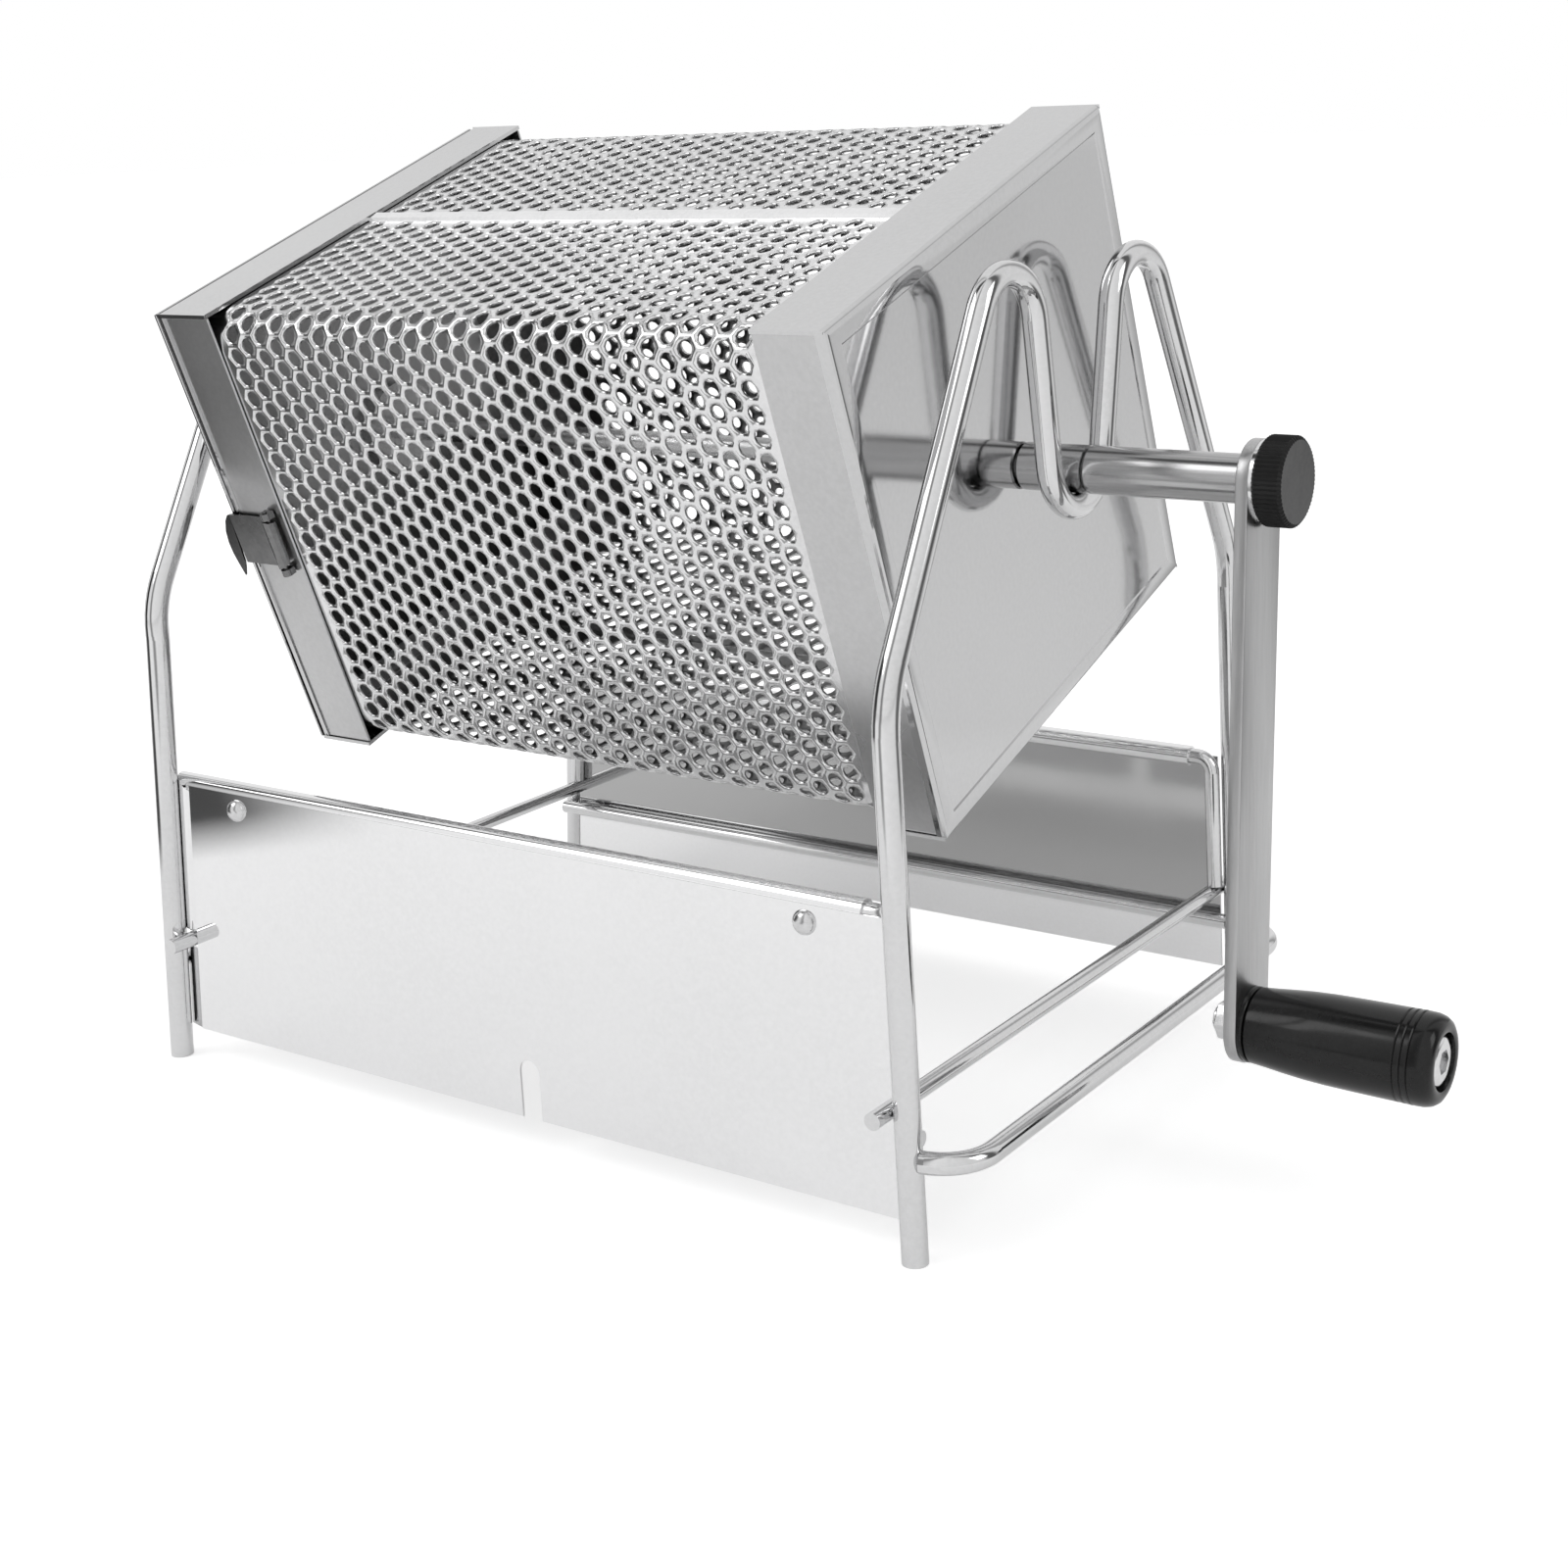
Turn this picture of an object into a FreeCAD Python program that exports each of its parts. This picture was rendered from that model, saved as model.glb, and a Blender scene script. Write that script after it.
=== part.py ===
"""Stovetop coffee bean roaster: a square perforated drum turned by a crank in an open wire stand.

Frame: X runs along the drum's axis towards the crank, Y from the front to the back, +Z up.
The origin is on the ground, under the middle of the whole roaster's length. Pieces are modelled
from the middle of the stand and moved there last.
"""
import FreeCAD, Part
import math
import os
import re

Vector = FreeCAD.Vector
X_AXIS = Vector(1, 0, 0)
Y_AXIS = Vector(0, 1, 0)
Z_AXIS = Vector(0, 0, 1)

doc = FreeCAD.newDocument("coffee_roaster")

# ---------------------------------------------------------------- driving dimensions (mm, degrees)
SIZES = {
    # wire stand
    "leg_wire": 6.0, "thin_wire": 4.0, "hoop_wire": 5.0, "leg_spread": 164.0,
    "left_offset": 109.5, "right_offset": 112.0, "left_splay": 4.5, "right_splay": 1.5,
    "shoulder_height": 117.0,
    "shoulder_bend": 30.0, "loop_top": 208.5, "loop_spread": 60.0, "loop_bend": 12.5,
    "cradle_bend": 12.5, "side_bar_height": 33.8, "side_bar_length": 176.0,
    "hoop_height": 24.0, "hoop_reach": 13.5, "hoop_bend": 12.0, "rail_height": 26.5,
    "front_wire_top": 78.7, "back_wire_top": 73.0,
    "panel_wire_bend": 4.0, "panel_wire_inset": 4.0,
    # wind panels
    "panel_sheet": 0.8, "front_panel_bottom": 8.3, "back_panel_bottom": 12.5,
    "panel_edge_gap": 0.4, "hem_play": 0.1,
    "slot_width": 6.0, "slot_height": 15.0, "slot_offset": 6.0, "bar_hole_play": 0.4,
    "rivet_head": 5.6, "rivet_inset": 21.0, "rivet_drop": 4.2,
    # drum
    "axis_height": 159.5, "drum_rest_angle": 19.3, "drum_side": 125.0, "drum_length": 200.0,
    "drum_shift": -1.0, "flange_depth": 18.7, "cap_sheet": 1.0, "cap_edge": 1.6,
    "mesh_sheet": 0.8, "mesh_corner": 8.0, "mesh_play": 0.2, "seam_play": 0.1,
    "hole_size": 4.2, "hole_pitch": 5.7, "seam_margin": 3.0, "end_margin": 1.2,
    "door_play": 0.3, "frame_lip": 8.0,
    # shafts
    "shaft_size": 11.0, "shaft_neck": 8.0, "running_play": 0.06, "cradle_play": 0.05,
    "bush_length": 7.0, "bush_play": 0.1, "stub_end": 8.0, "spigot_size": 8.0, "hub_size": 26.0,
    "hub_sheet": 3.0, "axle_size": 6.0, "fit_play": 0.05,
    "paddle_sheet": 1.2, "paddle_width": 16.0, "paddle_reach": 50.0, "paddle_place": 46.0,
    "paddle_twist": -40.0,
    # crank
    "arm_inside": 155.0, "arm_sheet": 3.0, "arm_width": 18.0, "crank_throw": 124.0,
    "crank_angle": -2.2, "stud_size": 6.0, "knob_size": 20.0, "knob_length": 7.0,
    "knob_chamfer": 1.0, "knob_skin": 2.0, "washer_size": 18.0, "washer_sheet": 0.8,
    # handle
    "grip_length": 44.0, "grip_end_size": 21.0, "grip_middle_size": 20.4, "grip_root_size": 17.5,
    "grip_rounding": 4.0,
    "grip_bore": 6.6, "grip_play": 0.2, "grip_recess": 13.0, "recess_depth": 3.0,
    "bolt_size": 6.44, "bolt_head_size": 12.0, "bolt_head": 2.6, "nut_size": 9.6,
    "nut_length": 4.4, "nut_face": 12.0, "bolt_overhang": 1.0, "collar_sheet": 1.2,
    # latch and lid hinge
    "latch_width": 14.0, "latch_reach": 15.0, "latch_sheet": 1.0, "latch_hook": 4.0,
    "latch_stand_off": 3.5, "latch_play": 0.2, "latch_pin_size": 1.2, "latch_eye": 2.8,
    "latch_ear": 1.8, "latch_pin_overhang": 0.3,
    "hinge_pin_size": 2.0, "hinge_eye": 4.4, "hinge_width": 40.0, "hinge_leaf": 9.0,
}
sheet = doc.addObject("Spreadsheet::Sheet", "sizes")
for row, (alias, value) in enumerate(SIZES.items(), start=1):
    sheet.set(f"A{row}", alias)
    sheet.set(f"B{row}", str(value))
    sheet.setAlias(f"B{row}", alias)
doc.recompute()

ALIASES = re.compile(r"\b(" + "|".join(SIZES) + r")\b")


def size(alias):
    """A driving dimension, read back from the sheet."""
    return float(sheet.get(alias))


def bind(thing, **formulas):
    """Tie properties of an object to the sheet; a double underscore stands for a dot."""
    for name, formula in formulas.items():
        thing.setExpression(name.replace("__", "."), ALIASES.sub(r"sizes.\1", formula))


def place(thing, x="0", y="0", z="0"):
    """Tie an object's position to the sheet."""
    bind(thing, Placement__Base__x=x, Placement__Base__y=y, Placement__Base__z=z)


def block(name, length, width, height, x, y, z):
    """A box from its low corner."""
    made = doc.addObject("Part::Box", name)
    bind(made, Length=length, Width=width, Height=height)
    place(made, x, y, z)
    return made


def rod(name, diameter, length, x="0", y="0", z="0", axis=X_AXIS):
    """A round bar that starts at a point and runs along an axis."""
    made = doc.addObject("Part::Cylinder", name)
    bind(made, Radius=f"({diameter}) / 2", Height=length)
    made.Placement = FreeCAD.Placement(Vector(), FreeCAD.Rotation(Z_AXIS, axis))
    place(made, x, y, z)
    return made


def cone(name, start, end, length, x="0", y="0", z="0"):
    """A tapered round bar along X, from one diameter to another."""
    made = doc.addObject("Part::Cone", name)
    bind(made, Radius1=f"({start}) / 2", Radius2=f"({end}) / 2", Height=length)
    made.Placement = FreeCAD.Placement(Vector(), FreeCAD.Rotation(Z_AXIS, X_AXIS))
    place(made, x, y, z)
    return made


def fused(name, *members):
    """Several shapes joined to one."""
    made = doc.addObject("Part::MultiFuse", name)
    made.Shapes = list(members)
    return made


def cut(name, base, tool):
    """A shape with another taken out of it."""
    made = doc.addObject("Part::Cut", name)
    made.Base = base
    made.Tool = tool
    return made


def shaped(name, shape):
    """A shape worked out in code, for what no single feature makes."""
    made = doc.addObject("Part::Feature", name)
    made.Shape = shape
    return made


NODES = {}


# Middle of the length, from the left foot's outer side to the handle's end.
LEFT_REACH = ("left_offset + shoulder_height * tan(left_splay * 1deg)"
              " + leg_wire / 2 / cos(left_splay * 1deg)")
RIGHT_REACH = "arm_inside + arm_sheet + collar_sheet + grip_play + grip_length"
MIDDLE = f"(({RIGHT_REACH}) - ({LEFT_REACH})) / 2"


def node(made, label, angle="0", height="0"):
    """Name a finished piece as a node, turned about the X axis, lifted and moved to the origin."""
    carrier = doc.addObject("Part::Compound", f"{label}_placed")
    carrier.Links = [made]
    carrier.Placement = FreeCAD.Placement(Vector(), FreeCAD.Rotation(X_AXIS, 1))
    bind(carrier, Placement__Rotation__Angle=angle)
    place(carrier, f"-({MIDDLE})", "0", height)
    carrier.Label = label
    NODES[label] = carrier
    return carrier


def on_drum(made, label, angle="drum_rest_angle"):
    """A piece modelled about the X axis, carried by the drum's axis at its rest angle."""
    return node(made, label, angle, "axis_height")


# ---------------------------------------------------------------- wire bending
def wire_route(discs, start, end):
    """Straight runs and tangent arcs round discs (a, b, signed radius), in a flat (a, b) plane.

    A positive radius turns the route anticlockwise. Start and end are plain (a, b) points.
    """
    stops = [(*start, 0.0), *discs, (*end, 0.0)]
    tangents = []
    for (a1, b1, r1), (a2, b2, r2) in zip(stops, stops[1:]):
        span = math.hypot(a2 - a1, b2 - b1)
        heading = math.atan2(b2 - b1, a2 - a1) + math.asin((r1 - r2) / span)
        side = (math.sin(heading), -math.cos(heading))
        tangents.append(((a1 + r1 * side[0], b1 + r1 * side[1]),
                         (a2 + r2 * side[0], b2 + r2 * side[1]), heading))
    pieces = []
    for index, (leave, reach, heading) in enumerate(tangents):
        pieces.append(("run", leave, reach))
        if index < len(discs):
            a, b, radius = discs[index]
            onward = tangents[index + 1][2]
            turn = math.remainder(onward - heading, 2 * math.pi)
            if turn * radius < 0:
                turn += math.copysign(2 * math.pi, radius)
            middle = heading + turn / 2
            bulge = (a + radius * math.sin(middle), b - radius * math.cos(middle))
            pieces.append(("arc", reach, bulge, tangents[index + 1][0]))
    return pieces


def bent_wire(pieces, diameter, lift):
    """Sweep a round section along a route; lift turns a flat (a, b) point into a place."""
    edges = []
    for kind, *points in pieces:
        places = [lift(a, b) for a, b in points]
        if kind == "run":
            edges.append(Part.LineSegment(*places).toShape())
        else:
            edges.append(Part.Arc(*places).toShape())
    path = Part.Wire(edges)
    first = edges[0]
    start = first.valueAt(first.FirstParameter)
    heading = first.tangentAt(first.FirstParameter)
    section = Part.Wire(Part.makeCircle(diameter / 2, start, heading))
    return path.makePipeShell([section], True, False)


leg_y = size("leg_spread") / 2
wire_radius = size("leg_wire") / 2
cradle_z = (size("axis_height") - size("shaft_size") / 2 - size("cradle_play")
            - wire_radius + size("cradle_bend"))


OFFSET = {-1: "left_offset", 1: "right_offset"}
SPLAY = {-1: "left_splay", 1: "right_splay"}
NAME = {-1: "left", 1: "right"}


def leg_x(side, height):
    """Place of a leg's centre along X, at a height."""
    drop = max(size("shoulder_height") - height, 0)
    return side * (size(OFFSET[side]) + drop * math.tan(math.radians(size(SPLAY[side]))))


def wire_frame(side):
    """One end frame: two legs whose wire rises over two loops and dips to carry the shaft."""
    shoulder = size("shoulder_height")
    bend = size("shoulder_bend")
    loop = size("loop_bend")
    loop_y = size("loop_spread") / 2
    loop_z = size("loop_top") - wire_radius - loop
    across = size(OFFSET[side]) * side
    discs = [(-leg_y + bend, shoulder, -bend), (-loop_y, loop_z, -loop),
             (0.0, cradle_z, size("cradle_bend")), (loop_y, loop_z, -loop),
             (leg_y - bend, shoulder, -bend)]
    route = wire_route(discs, (-leg_y, shoulder - 1), (leg_y, shoulder - 1))
    arch = bent_wire(route, size("leg_wire"), lambda y, z: Vector(across, y, z))
    parts = []
    for y in (-leg_y, leg_y):
        top = Vector(across, y, shoulder - 1)
        foot = Vector(leg_x(side, 0), y, 0)
        along = foot - top
        reach = along.Length + wire_radius
        parts.append(Part.makeCylinder(wire_radius, reach, top, along))
        parts.append(Part.makeSphere(wire_radius, top))
    whole = arch.fuse(parts)
    ground = Part.makeBox(60, 4 * leg_y, 40, Vector(leg_x(side, 0) - 30, -2 * leg_y, -40))
    return whole.cut(ground)


right_frame = shaped("right_frame", wire_frame(1))
node(right_frame, "right_wire_frame")
node(shaped("left_frame", wire_frame(-1)), "left_wire_frame")

# ---------------------------------------------------------------- stand cross members
thin = size("thin_wire")
bar_z = size("side_bar_height")
seat = wire_radius + thin / 2


def bar_x(side, height):
    """Centre of a thin wire that is welded to the inner side of the legs."""
    return leg_x(side, height) - side * seat


for side in (-1, 1):
    offset = (f"{side} * ({OFFSET[side]} - (leg_wire + thin_wire) / 2"
              f" + (shoulder_height - side_bar_height) * tan({SPLAY[side]} * 1deg))")
    bar = rod(f"{NAME[side]}_bar", "thin_wire", "side_bar_length", offset,
              "-side_bar_length / 2", "side_bar_height", Y_AXIS)
    node(bar, f"{NAME[side]}_side_bar")

hoop_z = size("hoop_height")
hoop_bend = size("hoop_bend")
hoop_out = leg_x(1, hoop_z) + size("hoop_reach")
hoop_in = leg_x(1, hoop_z) + math.sqrt(wire_radius ** 2 - 1)
hoop_route = wire_route([(hoop_out - hoop_bend, -leg_y + hoop_bend, hoop_bend),
                         (hoop_out - hoop_bend, leg_y - hoop_bend, hoop_bend)],
                        (hoop_in, -leg_y), (hoop_in, leg_y))
hoop = bent_wire(hoop_route, size("hoop_wire"), lambda x, y: Vector(x, y, hoop_z))
hoop = hoop.cut(right_frame.Shape)
node(shaped("hoop", hoop), "right_lower_hoop")

rail_y = leg_y - wire_radius - thin / 2
for name, y in (("front", "-1"), ("back", "1")):
    rail = rod(f"{name}_rail_rod", "thin_wire",
               "left_offset + right_offset + (shoulder_height - rail_height)"
               " * (tan(left_splay * 1deg) + tan(right_splay * 1deg))",
               "-left_offset - (shoulder_height - rail_height) * tan(left_splay * 1deg)",
               f"{y} * (leg_spread - leg_wire - thin_wire) / 2", "rail_height")
    node(rail, f"{name}_rail")

hanger_foot = bar_z + thin / 2
hanger_y = leg_y - size("panel_wire_inset")


def hanger_x(side, height):
    """Centre of a panel wire's upright, beside its leg."""
    return leg_x(side, height) - side * size("panel_wire_inset")


def panel_wire(side, top):
    """An inverted U of thin wire that stands on the side bars and carries a wind panel."""
    bend = size("panel_wire_bend")
    left, right = hanger_x(-1, top), hanger_x(1, top)
    start = (hanger_x(-1, hanger_foot), hanger_foot)
    end = (hanger_x(1, hanger_foot), hanger_foot)
    route = wire_route([(left + bend, top - bend, -bend), (right - bend, top - bend, -bend)], start, end)
    return bent_wire(route, thin, lambda x, z: Vector(x, side * hanger_y, z))


# ---------------------------------------------------------------- wind panels
panel_t = size("panel_sheet")
hem_inner = thin / 2 + size("hem_play")
hem_outer = hem_inner + panel_t


def wind_panel(side, top, bottom):
    """A sheet that hangs on its wire by a rolled hem, with a slot in its lower edge."""
    clear = wire_radius + size("panel_edge_gap")
    left, right = leg_x(-1, top) + clear, leg_x(1, top) - clear
    hem_left = hanger_x(-1, top) + size("panel_wire_bend") + thin / 2
    hem_right = hanger_x(1, top) - size("panel_wire_bend") - thin / 2
    wire_y = side * hanger_y
    outer = wire_y + side * hem_outer
    low_y = min(outer, outer - side * panel_t)
    corners = [Vector(left, low_y, top), Vector(leg_x(-1, bottom) + clear, low_y, bottom),
               Vector(leg_x(1, bottom) - clear, low_y, bottom), Vector(right, low_y, top)]
    web = Part.Face(Part.makePolygon(corners + corners[:1])).extrude(Y_AXIS * panel_t)
    roll = Part.makeCylinder(hem_outer, hem_right - hem_left, Vector(hem_left, wire_y, top), X_AXIS)
    bore = Part.makeCylinder(hem_inner, 2 * right, Vector(-right, wire_y, top), X_AXIS)
    lower = Part.makeBox(2 * right, 4 * hem_outer, 2 * hem_outer,
                         Vector(-right, wire_y - 2 * hem_outer, top - 2 * hem_outer))
    panel = web.fuse(roll.cut([bore, lower]))
    slot = size("slot_width")
    slot_top = bottom + size("slot_height") - slot / 2
    across = size("slot_offset")
    deep = 4 * panel_t
    slot_y = outer - side * panel_t / 2 - deep / 2
    notch = Part.makeBox(slot, deep, slot_top, Vector(across - slot / 2, slot_y, 0))
    cuts = [notch, Part.makeCylinder(slot / 2, deep, Vector(across, slot_y, slot_top), Y_AXIS)]
    for end in (-1, 1):
        cuts.append(Part.makeCylinder(thin / 2 + size("bar_hole_play"), deep,
                                      Vector(bar_x(end, bar_z), slot_y, bar_z), Y_AXIS))
    head = size("rivet_head") / 2
    height = top - size("rivet_drop")
    rivets = []
    for x in (left + size("rivet_inset"), right - size("rivet_inset")):
        ball = Part.makeSphere(head, Vector(x, outer, height))
        near = Vector(x - head, min(outer, outer + side * head), height - head)
        rivets.append(ball.common(Part.makeBox(2 * head, head, 2 * head, near)))
    return panel.cut(cuts).removeSplitter(), rivets


rivet_heads = []
for side, name in ((-1, "front"), (1, "back")):
    wire_top = size(f"{name}_wire_top") - thin / 2
    node(shaped(f"{name}_hanger", panel_wire(side, wire_top)), f"{name}_panel_wire")
    panel, heads = wind_panel(side, wire_top, size(f"{name}_panel_bottom"))
    node(shaped(f"{name}_sheet", panel), f"{name}_panel")
    rivet_heads += heads
node(shaped("rivet_heads", Part.makeCompound(rivet_heads)), "panel_rivets")

# ---------------------------------------------------------------- drum caps
NEAR_CAP = "(drum_shift - drum_length / 2)"
FAR_CAP = "(drum_shift + drum_length / 2)"
drum_left = size("drum_shift") - size("drum_length") / 2
drum_right = size("drum_shift") + size("drum_length") / 2


def centred_block(name, length, side, x):
    """A square block centred on the drum's axis."""
    return block(name, length, side, side, x, f"-({side}) / 2", f"-({side}) / 2")


pan = centred_block("cap_pan", "flange_depth", "drum_side", f"{FAR_CAP} - flange_depth")
pan_edge = doc.addObject("Part::Fillet", "cap_pan_rounded")
pan_edge.Base = pan
doc.recompute()
face_edges = [number for number, edge in enumerate(pan.Shape.Edges, start=1)
              if abs(edge.BoundBox.XMin - drum_right) < 1e-6]
pan_edge.Edges = [(number, size("cap_edge"), size("cap_edge")) for number in face_edges]
pan_room = centred_block("cap_room", "flange_depth", "drum_side - 2 * cap_sheet",
                         f"{FAR_CAP} - flange_depth - cap_sheet")
pan_bore = rod("cap_bore", "spigot_size + 2 * fit_play", "3 * cap_sheet", f"{FAR_CAP} - 2 * cap_sheet")
cap = cut("cap_shell", cut("cap_hollow", pan_edge, pan_room), pan_bore)
on_drum(cap, "crank_side_cap")

collar = centred_block("frame_outer", "flange_depth - cap_sheet", "drum_side", f"{NEAR_CAP} + cap_sheet")
collar_room = centred_block("frame_room", "flange_depth", "drum_side - 2 * cap_sheet",
                            f"{NEAR_CAP} + 2 * cap_sheet")
collar_mouth = centred_block("frame_mouth", "4 * cap_sheet", "drum_side - 2 * cap_sheet - 2 * frame_lip",
                             NEAR_CAP)
end_frame = cut("frame_shell", cut("frame_hollow", collar, collar_room), collar_mouth)
on_drum(end_frame, "lid_frame")

door = centred_block("door_plate", "cap_sheet", "drum_side - 2 * door_play", NEAR_CAP)
door_bore = rod("door_bore", "spigot_size + 2 * fit_play", "3 * cap_sheet", f"{NEAR_CAP} - cap_sheet")
on_drum(cut("door_shell", door, door_bore), "lid_door")

# ---------------------------------------------------------------- perforated shell
mesh_t = size("mesh_sheet")
mesh_half = size("drum_side") / 2 - size("cap_sheet") - size("mesh_play")
corner = size("mesh_corner")
hole_r = size("hole_size") / 2
mesh_left = drum_left + 2 * size("cap_sheet") + size("mesh_play")
mesh_right = drum_right - size("cap_sheet") - size("mesh_play")
open_left = drum_left + size("flange_depth")
open_right = drum_right - size("flange_depth")
flat = mesh_half - corner
arc_length = (corner - mesh_t / 2) * math.pi / 2
seam_edge = size("seam_play") / 2
developed = 4 * flat + 2 * arc_length


def hole_columns():
    """Places of the columns of holes along X, each with its half-pitch stagger."""
    step = size("hole_pitch") * math.sqrt(3) / 2
    room = open_right - open_left - 2 * (hole_r + size("end_margin"))
    count = int(room / step) + 1
    first = (open_left + open_right) / 2 - (count - 1) * step / 2
    return [(first + index * step, index % 2) for index in range(count)]


def hole_rows():
    """Distances of the rows of holes from the seam, round the developed half shell."""
    first = size("seam_margin") + hole_r
    count = round((developed - 2 * first) / size("hole_pitch"))
    step = (developed - 2 * first) / count
    return [[first + index * step for index in range(count + 1)],
            [first + (index + 0.5) * step for index in range(count)]]


def rows_between(rows, low, high):
    """The rows whose holes lie clear of both ends of a stretch, measured from its start."""
    return [row - low for row in rows if low + hole_r < row < high - hole_r]


def flat_strip(origin, along, outward, length, start):
    """A flat stretch of perforated sheet; start is its place in the developed length."""
    corners = [origin + Vector(mesh_left, 0, 0), origin + Vector(mesh_right, 0, 0),
               origin + Vector(mesh_right, 0, 0) + along * length,
               origin + Vector(mesh_left, 0, 0) + along * length]
    wires = [Part.makePolygon(corners + corners[:1])]
    rows = hole_rows()
    for x, stagger in hole_columns():
        for row in rows_between(rows[stagger], start, start + length):
            centre = origin + Vector(x, 0, 0) + along * row
            wires.append(Part.Wire(Part.makeCircle(hole_r, centre, outward)))
    return Part.Face(wires).extrude(outward * -mesh_t)


def corner_strip(centre, first_angle, start):
    """A quarter bend of perforated sheet about an edge of the drum."""
    inner = corner - mesh_t
    ends = []
    for angle in (first_angle, first_angle + 45, first_angle + 90):
        turn = math.radians(angle)
        ends.append(Vector(0, math.cos(turn), math.sin(turn)))
    base = centre + Vector(mesh_left, 0, 0)
    outside = Part.Arc(*(base + way * corner for way in ends)).toShape()
    inside = Part.Arc(*(base + way * inner for way in reversed(ends))).toShape()
    closing = [Part.LineSegment(base + ends[2] * corner, base + ends[2] * inner).toShape(),
               Part.LineSegment(base + ends[0] * inner, base + ends[0] * corner).toShape()]
    profile = Part.Wire([outside, closing[0], inside, closing[1]])
    strip = Part.Face(profile).extrude(X_AXIS * (mesh_right - mesh_left))
    rows = hole_rows()
    punches = []
    for x, stagger in hole_columns():
        for row in rows_between(rows[stagger], start, start + arc_length):
            turn = math.radians(first_angle + 90 * row / arc_length)
            way = Vector(0, math.cos(turn), math.sin(turn))
            punches.append(Part.makeCylinder(hole_r, 3 * mesh_t, centre + Vector(x, 0, 0)
                                             + way * (corner - 2 * mesh_t), way))
    return strip.cut(Part.makeCompound(punches))


HAIR = 1e-4


def half_shell():
    """The front half of the drum's wall: a sheet bent to a U, from the upper seam to the lower one."""
    up, down = Vector(0, 0, 1), Vector(0, 0, -1)
    front, back = Vector(0, -1, 0), Vector(0, 1, 0)
    start = seam_edge
    turned = flat
    strips = [flat_strip(Vector(0, -start, mesh_half), front, up, flat - start, start)]
    strips.append(corner_strip(Vector(0, -flat, flat), 90, turned))
    turned += arc_length
    strips.append(flat_strip(Vector(0, -mesh_half, flat), down, front, 2 * flat, turned))
    turned += 2 * flat
    strips.append(corner_strip(Vector(0, -flat, -flat), 180, turned))
    turned += arc_length
    strips.append(flat_strip(Vector(0, -flat, -mesh_half), back, down, flat - start, turned))
    faces = []
    for strip in strips:
        for face in strip.Faces:
            box = face.BoundBox
            on_joint = (box.YLength < HAIR and abs(box.YMin + flat) < HAIR
                        or box.ZLength < HAIR and abs(abs(box.ZMin) - flat) < HAIR)
            if not on_joint:
                faces.append(face)
    shell = Part.makeShell(faces)
    shell.sewShape()
    solid = Part.makeSolid(shell)
    if solid.Volume < 0:
        solid.reverse()
    return solid


front_half = half_shell()
back_half = front_half.mirror(Vector(), Y_AXIS)
on_drum(shaped("front_mesh", front_half), "front_mesh_half")
on_drum(shaped("back_mesh", back_half), "back_mesh_half")

# ---------------------------------------------------------------- shafts and bushes
RUN = "bush_length + 2 * bush_play"
for name, side, cap_face, end in (("crank", 1, FAR_CAP, "arm_inside"),
                                  ("stub", -1, NEAR_CAP, "(-left_offset - stub_end)")):
    at = f"({side} * {OFFSET[side]})"
    low, high = (cap_face, end) if side > 0 else (end, cap_face)
    body = rod(f"{name}_body", "shaft_size", f"{high} - {low}", low)
    ring = cut(f"{name}_ring", rod(f"{name}_ring_outer", "2 * shaft_size", RUN, f"{at} - ({RUN}) / 2"),
               rod(f"{name}_ring_inner", "shaft_neck", RUN, f"{at} - ({RUN}) / 2"))
    necked = cut(f"{name}_necked", body, ring)
    root = "cap_sheet + hub_sheet"
    spigot_x = f"{cap_face} - ({root})" if side > 0 else cap_face
    spigot = rod(f"{name}_spigot", "spigot_size", root, spigot_x)
    members = [necked, spigot]
    if side > 0:
        members.append(rod("crank_stud", "stud_size",
                           "arm_sheet + washer_sheet + knob_length - knob_skin", "arm_inside"))
    on_drum(fused(f"{name}_shaft_solid", *members), "crank_shaft" if side > 0 else "stub_axle")
    hub_x = f"{cap_face} - cap_sheet - hub_sheet" if side > 0 else f"{cap_face} + cap_sheet"
    hub = cut(f"{name}_hub_ring", rod(f"{name}_hub_disc", "hub_size", "hub_sheet", hub_x),
              rod(f"{name}_hub_bore", "spigot_size + 2 * fit_play", "hub_sheet", hub_x))
    on_drum(hub, "shaft_hub" if side > 0 else "stub_hub")
    bush = cut(f"{name}_bush_ring", rod(f"{name}_bush_outer", "shaft_size", "bush_length",
                                        f"{at} - bush_length / 2"),
               rod(f"{name}_bush_bore", "shaft_neck + 2 * running_play", "bush_length",
                   f"{at} - bush_length / 2"))
    on_drum(bush, "right_seat_bush" if side > 0 else "left_seat_bush", "0")

axle = rod("axle", "axle_size", f"{FAR_CAP} - {NEAR_CAP} - 2 * (cap_sheet + hub_sheet)",
           f"{NEAR_CAP} + cap_sheet + hub_sheet")
on_drum(axle, "axle_rod")

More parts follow.
